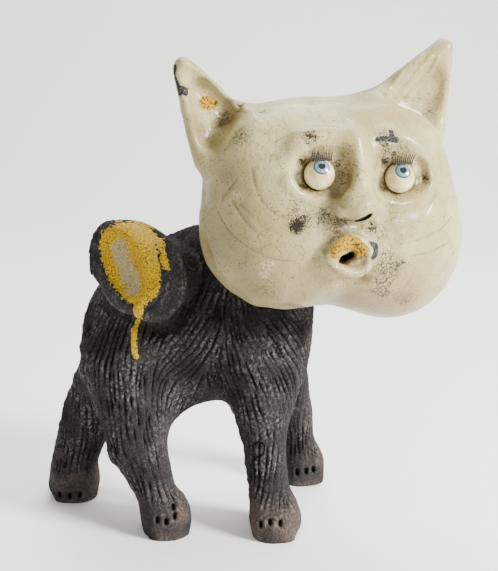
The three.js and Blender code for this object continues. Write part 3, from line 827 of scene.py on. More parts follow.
@dataclass
class Head:
    """The glazed head, modelled in soft pads and scored with a few long lines."""

    grain: float = 0.94 * MM
    socket_gap: float = 0.35 * MM
    eye_radius: float = 8 * MM
    smoothing: int = 16
    form_smoothing: int = 4
    bridge_smoothing: int = 16
    swells: tuple[tuple[float, float, float], ...] = ((26, 9, 0.9), (12, 4, 0.35), (6, 2, 0.14))
    bridge_width: float = 14 * MM
    arc_width: float = 1.3 * MM
    arc_depth: float = 0.35 * MM
    chip_depth: float = 0.3 * MM
    lip_edge_px: float = 3
    spot_edge_px: float = 6
    gilt_reach: float = 25 * MM
    eye_ring_shade_width: float = 3.0 * MM
    cluster_width: float = 5 * MM
    forms: tuple[Form, ...] = (
        # brows, and the folds under them
        (((297, 150), (299, 140), (309, 134), (324, 132), (340, 134)), 8.0, 1.3),
        (((374, 138), (388, 132), (402, 134), (416, 145)), 8.0, 1.3),
        (((300, 153), (310, 147), (324, 144), (338, 148)), 3.0, 0.8),
        # hollows round the eyes
        (((338, 154), (345, 168), (341, 190)), 8.5, -2.2),
        (((299, 160), (297, 172), (302, 185)), 3.8, -1.8),
        (((384, 156), (380, 172), (383, 190)), 4.8, -2.2),
        (((418, 163), (423, 171), (424, 181)), 4.8, -3.0),
        # bags under the eyes, and the hollows below them
        (((288, 180), (296, 191), (310, 198), (325, 200), (338, 195)), 5.5, 1.5),
        (((384, 195), (398, 201), (413, 200), (427, 191), (431, 177)), 5.5, 0.9),
        (((306, 188), (318, 191), (331, 188)), 2.2, 0.8),
        (((387, 190), (400, 194), (413, 191)), 2.2, 0.8),
        (((292, 204), (310, 211), (328, 208)), 6.0, -1.0),
        (((392, 212), (410, 213), (430, 203)), 6.0, -0.3),
        # the nose: its broad ridge, bulb and wings, and the hollows beside and under it
        (((358, 140), (360, 160), (361, 180), (361, 200)), 10.0, 2.0),
        (((368, 148), (370, 165), (372, 185), (373, 200)), 6.0, 1.0),
        (((350, 201), (357, 207), (364, 208)), 10.5, 3.6),
        (((334, 205), (341, 212)), 5.6, 3.0),
        (((376, 203), (382, 210)), 5.2, 2.4),
        (((345, 156), (344, 176), (333, 198)), 8.0, -1.5),
        (((352, 227), (353, 234)), 3.0, -0.8),
        (((366, 226), (372, 238)), 5.0, 1.0),
        # the pout, and the hollow under it
        (((333, 254), (337, 245), (347, 238.5), (359, 241), (368, 250)), 5.6, 3.2),
        (((327, 257), (333, 265), (344, 271), (357, 272), (367, 265)), 3.8, 3.8),
        (((320, 260), (328, 274), (344, 282), (363, 280)), 5.4, -3.2),
        (((322, 244), (331, 234), (342, 229)), 4.0, -1.2),
        # the ears: the right one's rim and cup, and the left one's cup
        (((182, 62), (205, 76), (238, 95)), 4.0, 1.0),
        (((192, 74), (200, 86)), 6.0, -1.6),
        (((204, 90), (222, 108)), 10.0, -2.8),
        (((177, 74), (184, 100), (190, 122)), 4.0, 1.4),
        (((434, 100), (441, 84)), 8.0, -1.8),
        # the uneven edge of the jaw
        (((203, 178), (204, 192)), 7.0, -1.2), (((201, 214), (202, 226)), 8.0, 1.0),
        (((205, 244), (207, 252)), 7.0, -1.0), (((222, 282), (230, 288)), 7.0, 0.5),
        (((238, 293), (243, 297)), 6.0, -0.9), (((253, 303), (262, 307)), 8.0, 0.8),
        (((284, 307), (292, 308)), 7.0, -0.9), (((345, 312), (352, 314)), 7.0, -1.0),
        # the cheeks' folds from the nose to the corners of the mouth
        (((330, 214), (321, 232), (317, 252)), 6.5, -1.1),
        (((384, 216), (392, 236), (392, 256)), 6.5, -0.9),
    )
    crisp_forms: tuple[Form, ...] = (
        (((334, 215), (345, 222.5), (357, 225), (369, 223), (381, 215)), 3.8, -2.6),
        (((327, 257), (334, 264), (345, 269.5), (356, 270.5), (366, 265)), 1.6, 0.7),
        (((338, 259), (347, 262.5), (358, 263), (366, 258)), 2.8, -2.4),
        (((234, 96), (238, 104), (225, 119), (214, 125)), 3.0, -2.6),
        (((334, 215), (339, 221), (347, 224)), 2.2, -1.0), (((386, 94), (404, 70), (422, 57)), 2.2, 0.9),
        (((396, 97), (416, 73), (431, 56)), 2.2, 0.9), (((406, 98), (427, 74), (438, 58)), 2.0, 0.7),
        (((386, 99), (404, 99), (424, 102)), 2.4, -0.35),
    )
    bridge: Path = ((360, 134), (364, 160), (368, 186))
    holes: tuple[Form, ...] = (
        (((358.5, 221), (363, 219.5), (369, 216.5)), 3.4, 5.0),
        (((343.5, 256.5), (346.5, 255), (349.5, 254.5)), 4.2, 10.0),
    )
    arcs: tuple[Path, ...] = (
        ((252, 168), (256, 188), (266, 206), (282, 217), (296, 222)),
        ((232, 200), (246, 222), (262, 236), (284, 244)),
        ((218, 212), (230, 232), (250, 248), (270, 258), (296, 262)), ((240, 204), (262, 226), (280, 234)),
        ((400, 244), (420, 239), (440, 230), (452, 216)), ((410, 256), (432, 251), (452, 240)),
        ((426, 214), (433, 200), (436, 188)), ((262, 120), (240, 130), (224, 150)),
        ((236, 180), (222, 200)),
    )
    # Soot marks, partly real and partly painted shade: the spots at the eyes' corners and beside and under
    # the nose.
    soot: tuple[Spot, ...] = (
        ((297, 226), 6.5, 1.8), ((303, 220), 9, 0.8), ((310, 138), 7, 0.9), ((345, 222), 9, 0.9),
        ((322, 216), 10, 0.55), ((338, 240), 8, 0.55), ((386, 141), 8, 0.75), ((344, 174), 9, 0.6),
        ((306, 186), 7, 0.55), ((314, 152), 7, 0.5), ((394, 155), 8, 0.6), ((378, 168), 6, 0.5),
        ((396, 193), 6, 0.6), ((418, 186), 6, 0.5), ((364, 230), 8, 0.4), ((380, 236), 9, 0.45),
        ((344, 160), 8, 0.5), ((348, 190), 7, 0.45), ((296, 176), 6, 0.5), ((392, 204), 9, 0.4),
        ((376, 176), 6, 0.4), ((402, 148), 8, 0.5), ((328, 268), 7, 0.4), ((352, 280), 8, 0.35),
        ((355, 236), 6, 0.5), ((336, 228), 9, 0.6), ((303, 162), 4.5, 1.0), ((340, 166), 6, 0.9),
        ((342, 182), 6, 0.8), ((386, 162), 5, 1.0), ((388, 150), 9, 0.5), ((330, 216), 10, 0.55),
        ((372, 228), 7, 0.7), ((352, 244), 6, 0.6), ((424, 178), 5, 1.0), ((240, 136), 9, 0.5),
        ((296, 210), 10, 0.5), ((300, 190), 4, 0.5), ((384, 186), 5, 0.7), ((362, 258), 4, 0.8),
        ((388, 268), 12, 0.35), ((262, 112), 7, 0.5), ((312, 103), 6, 0.4), ((405, 300), 9, 0.35),
        ((270, 292), 10, 0.35), ((222, 118), 8, 0.6), ((430, 112), 8, 0.45), ((200, 130), 7, 0.4),
    )
    # Painted shade in the folds: down the nose's flank, under the nose and the lips, in the sockets and ear
    # hollows.
    fold_shades: tuple[Spot, ...] = (
        ((341, 160), 8, 0.7), ((343, 176), 8, 0.8), ((336, 192), 8, 0.6), ((341, 206), 7, 0.7),
        ((338, 216), 4, 1.0), ((345, 222), 4, 1.0), ((352, 224), 4, 0.9), ((373, 220), 4.5, 0.8),
        ((356, 262), 4, 1.0), ((363, 261), 4, 1.0), ((336, 279), 5, 0.7), ((348, 283), 5, 0.7),
        ((362, 281), 5, 0.6), ((326, 252), 4, 0.7), ((303, 168), 5, 0.8), ((312, 189), 4, 0.8),
        ((324, 191), 4, 0.8), ((398, 194), 4, 0.8), ((234, 100), 6, 0.9), ((346, 224), 8, 0.6),
        ((334, 232), 9, 0.5), ((380, 160), 6, 0.5), ((382, 186), 6, 0.5), ((424, 176), 7, 0.8),
        ((236, 104), 8, 0.6), ((226, 118), 9, 0.5), ((209, 98), 14, 0.35), ((420, 104), 10, 0.3),
        ((330, 280), 12, 0.3), ((300, 150), 6, 0.4), ((232, 290), 24, 0.25), ((300, 300), 20, 0.25),
        ((212, 250), 24, 0.3), ((214, 190), 20, 0.2),
    )
    # Painted highlight: patches of pale, glinting crazing on the cheeks and the jaw.
    glints: tuple[Spot, ...] = (
        ((268, 266), 6, 1.0), ((264, 274), 5, 0.8), ((399, 221), 4.5, 0.8), ((402, 232), 5, 0.5),
        ((236, 194), 5, 0.5), ((258, 300), 5, 0.4),
    )
    blush: tuple[Spot, ...] = (
        ((392, 296), 34, 0.5), ((430, 290), 26, 0.4), ((350, 304), 16, 0.6), ((300, 295), 14, 0.35),
    )
    # Painted shade: darker towards the lower left and the chin, in the ear hollows and beside and under the
    # nose.
    broad_shade: tuple[Spot, ...] = (
        ((214, 246), 52, 0.75), ((245, 290), 46, 0.7), ((290, 305), 40, 0.6), ((340, 308), 34, 0.75),
        ((350, 298), 36, 0.8), ((385, 306), 30, 0.6), ((212, 190), 42, 0.55), ((390, 318), 26, 0.5),
        ((250, 240), 40, 0.4), ((190, 120), 22, 0.4), ((340, 178), 14, 0.5), ((346, 222), 12, 0.4),
        ((226, 110), 16, 0.4), ((425, 98), 22, 0.25),
    )
    chips: tuple[tuple[Path, float], ...] = (
        (((376, 140), (384, 138.5), (396, 140)), 2.7), (((390, 132.5), (391.5, 137)), 3.0),
        (((367, 246), (374, 248), (374, 255)), 4.6), (((174, 68), (177, 82), (180, 92)), 3.2),
        (((181, 89), (186, 92)), 3.4),
    )
    cluster: tuple[Path, ...] = (
        ((386, 253), (390, 256), (384, 262)), ((375, 268), (385, 270), (400, 264)),
        ((378, 280), (386, 286), (392, 276)), ((376, 290), (385, 294)),
    )
    gilt_lip: Path = (
        (331, 258), (330, 250), (337, 241), (347, 235), (357, 237), (365, 243), (370, 251), (364, 256),
        (357, 256), (350, 250), (343, 252), (338, 259),
    )
    gilt_spot: Path = ((198, 102), (203, 96), (213, 97), (219, 104), (212, 110), (203, 109))

    def build(self) -> Clay:
        """Make the head, with its values painted."""
        clay = Clay("head", "head_glaze", self.grain)
        clay.relax(self.smoothing)
        tree = clay.tree()
        self.lumps(clay)
        pits = self.model_face(clay, tree)
        lines = self.score_lines(clay, tree)
        self.clear_eyes(clay)
        clay.paint(pit=pits, line=lines, chip=self.chip(clay, tree), gilt=self.gilding(clay))
        places = {"soot": self.soot, "broad_shade": self.broad_shade, "glint": self.glints, "blush": self.blush}
        clay.paint(**{name: spots(clay, tree, each) for name, each in places.items()})
        # The stain value is painted shade in the folds and round the eyeballs.
        clay.paint(cluster=self.cluster_cover(clay, tree), stain=self.stain(clay, tree))
        return clay

    def lumps(self, clay: Clay) -> None:
        """Give the glaze its soft, uneven swell: three noises, each of a size, a seed and a height."""
        lumps = (height * ripple(clay.points, size * MM, seed) for size, seed, height in self.swells)
        clay.push(sum(lumps) * MM)

    def model_face(self, clay: Clay, tree: BVHTree) -> np.ndarray:
        """Press and raise the smaller forms and return how far inside a hole each point lies, 0 to 1."""
        clay.model(tree, self.forms)
        clay.relax(self.form_smoothing)
        clay.relax(self.bridge_smoothing, clay.near(SIGHT.hits(tree, self.bridge), self.bridge_width))
        clay.model(tree, self.crisp_forms)
        tree = clay.tree()
        pits = np.zeros(len(clay.points))
        for pixels, width, depth in self.holes:
            path = smooth_curve(SIGHT.hits(tree, pixels))
            pits = np.maximum(pits, clay.poke(path, pixels[len(pixels) // 2], width * MM, depth * MM))
        return pits

    def score_lines(self, clay: Clay, tree: BVHTree) -> np.ndarray:
        """Score the long thin lines of the cheeks and return how near each point is to one, 0 to 1."""
        nearness = np.zeros(len(clay.points))
        for pixels in self.arcs:
            path = smooth_curve(SIGHT.hits(tree, pixels))
            nearness = np.maximum(nearness, clay.near(path, self.arc_width))
        clay.push(-self.arc_depth * nearness)
        return nearness

    def clear_eyes(self, clay: Clay) -> None:
        """Keep the sockets clear of the eyeballs."""
        reach = self.eye_radius + self.socket_gap
        for side in Side:
            centre = middle_of(side.eye)
            offset = clay.points - centre
            distance = np.linalg.norm(offset, axis=1)
            inside = distance < reach
            clay.points[inside] = centre + offset[inside] * (reach / distance[inside])[:, None]

    def chip(self, clay: Clay, tree: BVHTree) -> np.ndarray:
        """Flake the glaze off in a few places and return how bare each point is, 0 to 1."""
        bare = np.zeros(len(clay.points))
        for pixels, width in self.chips:
            bare = np.maximum(bare, clay.near(SIGHT.hits(tree, pixels), width * MM))
        clay.push(-self.chip_depth * np.clip(bare * 3, 0, 1))
        return bare

    def gilding(self, clay: Clay) -> np.ndarray:
        """Return the gold's cover at each point: the upper lip and a spot in an ear."""
        lip = SIGHT.patch(clay, self.gilt_lip, self.lip_edge_px, self.gilt_reach)
        return np.maximum(lip, SIGHT.patch(clay, self.gilt_spot, self.spot_edge_px, self.gilt_reach))

    def stain(self, clay: Clay, tree: BVHTree) -> np.ndarray:
        """Return how much painted shade each point takes in the folds, under the nose and lips and round
        the eyes, 0 to 1.
        """
        cover = spots(clay, tree, self.fold_shades)
        for side in Side:
            distance = np.linalg.norm(clay.points - middle_of(side.eye), axis=1)
            cover = np.maximum(cover, np.exp(-(((distance - self.eye_radius) / self.eye_ring_shade_width) ** 2)))
        return cover

    def cluster_cover(self, clay: Clay, tree: BVHTree) -> np.ndarray:
        """Return where the dense black crazing lies, 0 to 1."""
        paths = [SIGHT.hits(tree, pixels) for pixels in self.cluster]
        return np.max([clay.near(path, self.cluster_width) for path in paths], axis=0)


class Nodes:
    """A material's or a group's nodes, added and joined in few words."""

    def __init__(self, tree: bpy.types.NodeTree) -> None:
        """Take the tree that the nodes go into."""
        self.tree = tree

    def add(self, kind: str, values: Values | None = None, **settings: object) -> bpy.types.Node:
        """Add a node.

        Args:
            kind: the node's type, without the leading ShaderNode.
            values: what goes into its inputs: a number, a colour or another node's output.
            settings: the node's own settings.

        Returns:
            The node.
        """
        node = self.tree.nodes.new(kind if kind.startswith("Node") else "ShaderNode" + kind)
        for name, setting in settings.items():
            setattr(node, name, setting)
        for name, value in (values or {}).items():
            if isinstance(value, Socket):
                self.tree.links.new(value, node.inputs[name])
            else:
                node.inputs[name].default_value = value
        return node

    def maths(self, operation: str, a: object, b: object, clamp: bool = False) -> Socket:
        """Return one number made of two."""
        return self.add("Math", {0: a, 1: b}, operation=operation, use_clamp=clamp).outputs[0]

    def times(self, a: object, b: object) -> Socket:
        """Return a product."""
        return self.maths("MULTIPLY", a, b)

    def plus(self, a: object, b: object) -> Socket:
        """Return a sum."""
        return self.maths("ADD", a, b)

    def most(self, a: object, b: object) -> Socket:
        """Return the larger of two numbers."""
        return self.maths("MAXIMUM", a, b)

    def least(self, a: object, b: object) -> Socket:
        """Return the smaller of two numbers."""
        return self.maths("MINIMUM", a, b)

    def rest(self, a: object) -> Socket:
        """Return what a number lacks to 1."""
        return self.maths("SUBTRACT", 1.0, a)

    def swing(self, pattern: Socket, amount: float) -> Socket:
        """Return how far a pattern is from its mean of one half, times an amount."""
        return self.times(self.maths("SUBTRACT", pattern, 0.5), amount)

    def vectors(self, operation: str, values: Values) -> Socket:
        """Return one place made of others."""
        return self.add("VectorMath", values, operation=operation).outputs[0]

    def between(self, value: object, low: float, high: float) -> Socket:
        """Return 0 below a low value, 1 above a high one, and a smooth step between."""
        ends = {"Value": value, "From Min": low, "From Max": high}
        return self.add("MapRange", ends, interpolation_type="SMOOTHSTEP").outputs["Result"]

    def ramp(self, value: object, low: float, high: float) -> Socket:
        """Return a low number where a value is 0 and a high one where it is 1."""
        return self.add("MapRange", {"Value": value, "To Min": low, "To Max": high}).outputs["Result"]

    def mix(self, share: object, a: object, b: object) -> Socket:
        """Return a colour between two."""
        return self.add("Mix", {0: share, 6: a, 7: b}, data_type="RGBA").outputs[2]

    def bump(self, height: Socket, strength: float, distance: float) -> Socket:
        """Return the normals of a surface with a fine relief."""
        values = {"Strength": strength, "Distance": distance, "Height": height}
        return self.add("Bump", values).outputs["Normal"]

    def surface(self, values: Values) -> None:
        """Make the material's surface of the shader's inputs."""
        shader = self.add("BsdfPrincipled", values)
        self.add("OutputMaterial", {"Surface": shader.outputs[0]})

    def noise(self, where: Socket, scale: float, detail: float = 3, warp: float = 0) -> Socket:
        """Return soft noise, 0 to 1."""
        node = self.add("TexNoise", {"Vector": where, "Scale": scale, "Detail": detail, "Distortion": warp})
        return node.outputs["Fac"]

    def painted(self, name: str) -> Socket:
        """Return a value that was painted on the piece."""
        return self.add("Attribute", attribute_name=name).outputs["Fac"]


def new_group(
    name: str, numbers: dict[str, float]
) -> tuple[bpy.types.NodeTree, Nodes, bpy.types.bpy_prop_collection]:
    """Make a shader node group that reads a place and some numbers and puts out a mask.

    Args:
        name: the group's name.
        numbers: its number inputs, with their default values.

    Returns:
        The group, its nodes, and what its inputs give.
    """
    group = bpy.data.node_groups.new(name, "ShaderNodeTree")
    group.interface.new_socket("Vector", in_out="INPUT", socket_type="NodeSocketVector")
    for label, value in numbers.items():
        socket = group.interface.new_socket(label, in_out="INPUT", socket_type="NodeSocketFloat")
        socket.default_value = value
    group.interface.new_socket("Mask", in_out="OUTPUT", socket_type="NodeSocketFloat")
    nodes = Nodes(group)
    return group, nodes, nodes.add("NodeGroupInput").outputs


def speckle_group() -> bpy.types.NodeTree:
    """Make the group that scatters small dots, more of them where its cover is high."""
    group, nodes, given = new_group("speckle", {"Scale": 900.0, "Size": 0.28, "Cover": 0.3})
    warp = nodes.add("TexNoise", {"Vector": given["Vector"], "Scale": 1400.0, "Detail": 1.0})
    stray = (0.6 * MM, 0.6 * MM, 0.6 * MM)
    shifted = nodes.vectors("MULTIPLY_ADD", {0: warp.outputs["Color"], 1: stray, 2: given["Vector"]})
    cells = nodes.add("TexVoronoi", {"Vector": shifted, "Scale": given["Scale"], "Randomness": 1.0}).outputs
    chance = nodes.add("TexWhiteNoise", {"Vector": cells["Position"]}, noise_dimensions="3D")
    chosen = nodes.maths("LESS_THAN", chance.outputs["Value"], given["Cover"])
    inside = nodes.maths("SUBTRACT", given["Size"], cells["Distance"])
    nodes.add("NodeGroupOutput", {"Mask": nodes.times(nodes.between(inside, 0.0, 0.08), chosen)})
    return group


def crackle_group() -> bpy.types.NodeTree:
    """Make the group that draws the glaze's thin crazing lines."""
    group, nodes, given = new_group("crackle", {"Scale": 90.0, "Width": 0.012, "Wander": 0.004})
    warp = nodes.add("TexNoise", {"Vector": given["Vector"], "Scale": 130.0, "Detail": 3.0})
    centred = nodes.vectors("SUBTRACT", {0: warp.outputs["Color"], 1: (0.5, 0.5, 0.5)})
    strayed = nodes.vectors("SCALE", {0: centred, "Scale": given["Wander"]})
    shifted = nodes.vectors("ADD", {0: strayed, 1: given["Vector"]})
    placed = {"Vector": shifted, "Scale": given["Scale"]}
    cells = nodes.add("TexVoronoi", placed, feature="DISTANCE_TO_EDGE")
    near = nodes.maths("DIVIDE", cells.outputs["Distance"], given["Width"])
    nodes.add("NodeGroupOutput", {"Mask": nodes.between(near, 1.0, 0.0)})
    return group


class Effects:
    """The effects that more than one material uses, each built once."""

    def __init__(self) -> None:
        """Build the groups."""
        self.speckle = speckle_group()
        self.crackle = crackle_group()

    def dots(self, nodes: Nodes, where: Socket, scale: float, size: float, cover: object) -> Socket:
        """Return small dots: how close they lie, how large they are and which share of them there is."""
        values = {"Vector": where, "Scale": scale, "Size": size, "Cover": cover}
        return nodes.add("Group", values, node_tree=self.speckle).outputs["Mask"]

    def lines(
        self, nodes: Nodes, where: Socket, scale: float, width: float, wander: float = 0.004
    ) -> Socket:
        """Return crazing: how close its lines lie, how wide they are and how far they stray."""
        values = {"Vector": where, "Scale": scale, "Width": width, "Wander": wander}
        return nodes.add("Group", values, node_tree=self.crackle).outputs["Mask"]


def new_material(name: str) -> tuple[bpy.types.Material, Nodes, Socket]:
    """Make an empty material.

    Args:
        name: the material's name.

    Returns:
        The material, its nodes, and the place on the piece that patterns read.
    """
    material = bpy.data.materials.new(name)
    material.use_nodes = True
    material.node_tree.nodes.clear()
    nodes = Nodes(material.node_tree)
    return material, nodes, nodes.add("TexCoord").outputs["Object"]


@dataclass(frozen=True)
class SmokedClay:
    """Raku clay blackened by smoking: grogged, dusty on its ridges, with gold glaze on the tail, and
    painted shade.
    """

    black: Colour = rgb(20, 18, 19)
    grey: Colour = rgb(46, 44, 44)
    shadow: Colour = rgb(12, 9, 11)
    # the painted shade of the grooves and claw pricks
    deep: Colour = rgb(6, 5, 6)
    dust: Colour = rgb(108, 105, 101)
    brown: Colour = rgb(96, 80, 70)
    grog: Colour = rgb(150, 146, 140)
    gold: Colour = rgb(196, 158, 4)
    dark_gold: Colour = rgb(98, 76, 4)
    silver: Colour = rgb(160, 148, 116)
    fine_scale: float = 1500
    middle_scale: float = 560
    broad_scale: float = 45
    matt: float = 0.95
    glossy: float = 0.45
    relief: float = 1.4 * MM

    def material(self, effects: Effects) -> bpy.types.Material:
        """Return the material."""
        material, nodes, where = new_material("smoked_clay")
        groove, paw, ridge = nodes.painted("groove"), nodes.painted("paw"), nodes.painted("ridge")
        gilt, worn = nodes.painted("gilt"), nodes.painted("worn")
        fine, broad = nodes.noise(where, self.fine_scale, 4), nodes.noise(where, self.broad_scale, 4)
        middle = nodes.noise(where, self.middle_scale, 6)
        dusty = nodes.times(nodes.between(middle, 0.4, 0.66), nodes.between(broad, 0.36, 0.66))
        dusty = nodes.times(dusty, nodes.plus(ridge, 0.2))
        colour = nodes.mix(nodes.between(fine, 0.3, 0.7), self.black, self.grey)
        colour = nodes.mix(nodes.least(dusty, 0.8), colour, self.dust)
        browned = nodes.times(paw, nodes.between(broad, 0.3, 0.7))
        colour = nodes.mix(nodes.times(browned, 0.6), colour, self.brown)
        grog = effects.dots(nodes, where, self.fine_scale, 0.3, 0.2)
        colour = nodes.mix(nodes.times(grog, 0.3), colour, self.grog)
        # Painted shade: the spots under the head, the tail and the chest.
        colour = nodes.mix(nodes.times(nodes.painted("smoke"), 0.9), colour, self.shadow)
        # Painted shade: the comb's grooves and the claw pricks darkened almost to black.
        colour = nodes.mix(nodes.between(groove, 0.2, 0.8), colour, self.deep)
        torn = nodes.plus(gilt, nodes.swing(middle, 1.5))
        cover = nodes.between(torn, 0.42, 0.5)
        holes = effects.dots(nodes, where, self.fine_scale, 0.5, 0.32)
        cover = nodes.times(cover, nodes.rest(nodes.times(holes, 0.75)))
        gold = nodes.mix(nodes.between(fine, 0.36, 0.52), self.dark_gold, self.gold)
        pale = nodes.plus(worn, nodes.swing(middle, 2.2))
        gold = nodes.mix(nodes.times(nodes.between(pale, 0.35, 0.8), 0.85), gold, self.silver)
        colour = nodes.mix(cover, colour, gold)
        height = nodes.plus(nodes.times(fine, 0.45), middle)
        nodes.surface(
            {
                "Base Color": colour,
                "Roughness": nodes.ramp(cover, self.matt, self.glossy),
                "Metallic": nodes.times(cover, 0.35),
                "Specular IOR Level": 0.15,
                "Normal": nodes.bump(height, 1.0, self.relief),
            }
        )
        return material


@dataclass(frozen=True)
class CrackleGlaze:
    """Cream-grey raku glaze: glossy, crazed, pinholed, smoked in patches, with painted shade and highlight.
    """

    cream: Colour = rgb(178, 169, 122)
    shade: Colour = rgb(146, 134, 90)
    # the dark brown of the broad painted shade
    broad_shade: Colour = rgb(88, 70, 42)
    pink: Colour = rgb(164, 134, 106)
    glint: Colour = rgb(222, 216, 190)
    soot: Colour = rgb(16, 14, 14)
    # the brown of the painted shade in the folds and sockets
    stain: Colour = rgb(86, 66, 40)
    line: Colour = rgb(74, 62, 40)
    clay: Colour = rgb(42, 39, 38)
    pale_clay: Colour = rgb(96, 92, 88)
    # the painted shade inside the mouth and the nostril
    deep: Colour = rgb(8, 6, 5)
    gold: Colour = rgb(158, 116, 4)
    dark_gold: Colour = rgb(44, 30, 4)
    scales: tuple[float, float, float] = (28, 170, 1100)
    crackle: tuple[float, float] = (62.0, 0.014)
    craze: tuple[float, float, float] = (430.0, 0.13, 0.003)
    smoke_scale: float = 620
    grain_scale: float = 1500
    pinholes: tuple[float, float] = (1300.0, 0.42)
    gold_scale: float = 900
    peel_scale: float = 430
    relief: float = 0.8 * MM
    glossy: float = 0.45
    matt: float = 0.95
    coat: float = 0.32

    def material(self, effects: Effects) -> bpy.types.Material:
        """Return the material."""
        material, nodes, where = new_material("crackle_glaze")
        names = ("line", "chip", "soot", "gilt", "blush", "cluster", "pit", "broad_shade", "glint", "stain")
        paint = {name: nodes.painted(name) for name in names}
        broad, middle, fine = (nodes.noise(where, scale, 4) for scale in self.scales)
        colour = nodes.mix(nodes.between(broad, 0.35, 0.68), self.shade, self.cream)
        mottle = nodes.times(nodes.between(middle, 0.46, 0.7), 0.4)
        colour = nodes.mix(mottle, colour, self.shade)
        colour = nodes.mix(nodes.times(paint["blush"], 0.6), colour, self.pink)
        # Painted shade, darker towards the lower left and the chin.
        colour = nodes.mix(nodes.times(paint["broad_shade"], 0.7), colour, self.broad_shade)
        crackle = effects.lines(nodes, where, *self.crackle)
        patchy = nodes.between(middle, 0.42, 0.62)
        lines = nodes.times(crackle, nodes.plus(nodes.times(patchy, 0.6), 0.12))
        scored = nodes.times(nodes.between(paint["line"], 0.3, 0.9), nodes.between(fine, 0.3, 0.6))
        lines = nodes.most(lines, nodes.times(scored, 0.6))
        craze = effects.lines(nodes, where, *self.craze)
        dense = nodes.times(craze, nodes.between(paint["cluster"], 0.15, 0.7))
        colour = nodes.mix(lines, colour, self.line)
        colour = nodes.mix(nodes.times(dense, 0.95), colour, self.soot)
        # Painted highlight: pale crazing on the cheeks.
        glint = nodes.times(craze, nodes.between(paint["glint"], 0.1, 0.7))
        colour = nodes.mix(nodes.times(glint, 0.42), colour, self.glint)
        smoky = nodes.noise(where, self.smoke_scale, 6, 0.3)
        grain = nodes.times(nodes.plus(smoky, nodes.noise(where, self.grain_scale)), 0.5)
        thick = nodes.plus(grain, nodes.times(paint["soot"], 0.17))
        near = nodes.maths("MULTIPLY", paint["soot"], 1.8, clamp=True)
        haze = nodes.times(nodes.between(thick, 0.52, 0.68), near)
        # Soot: real soot marks, and painted shade where its spots sit at the eyes' corners and beside the
        # nose.
        grey = nodes.times(nodes.least(paint["soot"], 1.0), 0.22)
        colour = nodes.mix(grey, colour, self.soot)
        colour = nodes.mix(nodes.times(haze, 0.94), colour, self.soot)
        # Painted shade in the folds and round the eyeballs, broken up by noise.
        fold_shade = nodes.times(paint["stain"], nodes.between(smoky, 0.12, 0.58))
        colour = nodes.mix(nodes.times(fold_shade, 0.9), colour, self.stain)
        cover = nodes.plus(nodes.times(paint["soot"], 0.6), 0.08)
        dots = effects.dots(nodes, where, *self.pinholes, cover)
        colour = nodes.mix(nodes.times(dots, 0.85), colour, self.soot)
        torn = nodes.plus(paint["gilt"], nodes.swing(smoky, 0.8))
        gilt = nodes.between(torn, 0.35, 0.55)
        flaked = nodes.between(nodes.noise(where, self.gold_scale, 4), 0.4, 0.5)
        gold = nodes.mix(flaked, self.dark_gold, self.gold)
        colour = nodes.mix(nodes.times(gilt, 0.9), colour, gold)
        ragged = nodes.plus(paint["chip"], nodes.swing(fine, 0.5))
        bare = nodes.between(ragged, 0.3, 0.36)
        dull = nodes.most(bare, nodes.most(haze, gilt))
        clay = nodes.mix(nodes.between(fine, 0.45, 0.75), self.clay, self.pale_clay)
        colour = nodes.mix(bare, colour, clay)
        # Painted shade: the mouth's hole and the nostril darkened to near black.
        colour = nodes.mix(nodes.between(paint["pit"], 0.1, 0.6), colour, self.deep)
        matt = nodes.most(dull, nodes.times(dots, 0.5))
        sunk = nodes.plus(nodes.times(dots, -0.8), nodes.times(dense, -0.6))
        peel = nodes.plus(nodes.noise(where, self.peel_scale), nodes.times(fine, 0.5))
        nodes.surface(
            {
                "Base Color": colour,
                "Roughness": nodes.ramp(matt, self.glossy, self.matt),
                "Coat Weight": nodes.times(nodes.rest(dull), self.coat),
                "Coat Roughness": 0.2,
                "Specular IOR Level": 0.1,
                "Normal": nodes.bump(nodes.plus(sunk, peel), 0.55, self.relief),
            }
        )
        return material


@dataclass(frozen=True)
class EyeEnamel:
    """A doll's eye: cream, with a light blue iris under a clear gloss."""

    cream: Colour = rgb(214, 198, 150)
    tan: Colour = rgb(192, 164, 108)
    blue: Colour = rgb(72, 118, 136)
    pale: Colour = rgb(126, 158, 162)
    rim: Colour = rgb(22, 50, 66)
    pupil: Colour = rgb(6, 10, 16)

    def material(self) -> bpy.types.Material:
        """Return the material, which reads each point's angle from the gaze."""
        material, nodes, where = new_material("eye_enamel")
        angle = nodes.painted("gaze")
        streaks = nodes.noise(where, 1500, 3)
        blue = nodes.mix(nodes.between(streaks, 0.35, 0.65), self.blue, self.pale)
        blue = nodes.mix(nodes.between(angle, 0.40, 0.53), blue, self.rim)
        iris = nodes.mix(nodes.between(angle, 0.27, 0.22), blue, self.pupil)
        stain = nodes.mix(nodes.between(nodes.noise(where, 160), 0.38, 0.62), self.cream, self.tan)
        colour = nodes.mix(nodes.between(angle, 0.57, 0.54), stain, iris)
        nodes.surface(
            {"Base Color": colour, "Roughness": 0.22, "Coat Weight": 1.0, "Coat Roughness": 0.03}
        )
        return material


@dataclass(frozen=True)
class LashFibre:
    """Brown bristle, darker at the root."""

    tip: Colour = rgb(46, 32, 20)
    root: Colour = rgb(15, 10, 7)

    def material(self) -> bpy.types.Material:
        """Return the material."""
        material, nodes, where = new_material("lash_fibre")
        colour = nodes.mix(nodes.painted("reach"), self.root, self.tip)
        colour = nodes.mix(nodes.between(nodes.noise(where, 2600), 0.3, 0.7), colour, self.root)
        nodes.surface({"Base Color": colour, "Roughness": 0.55})
        return material


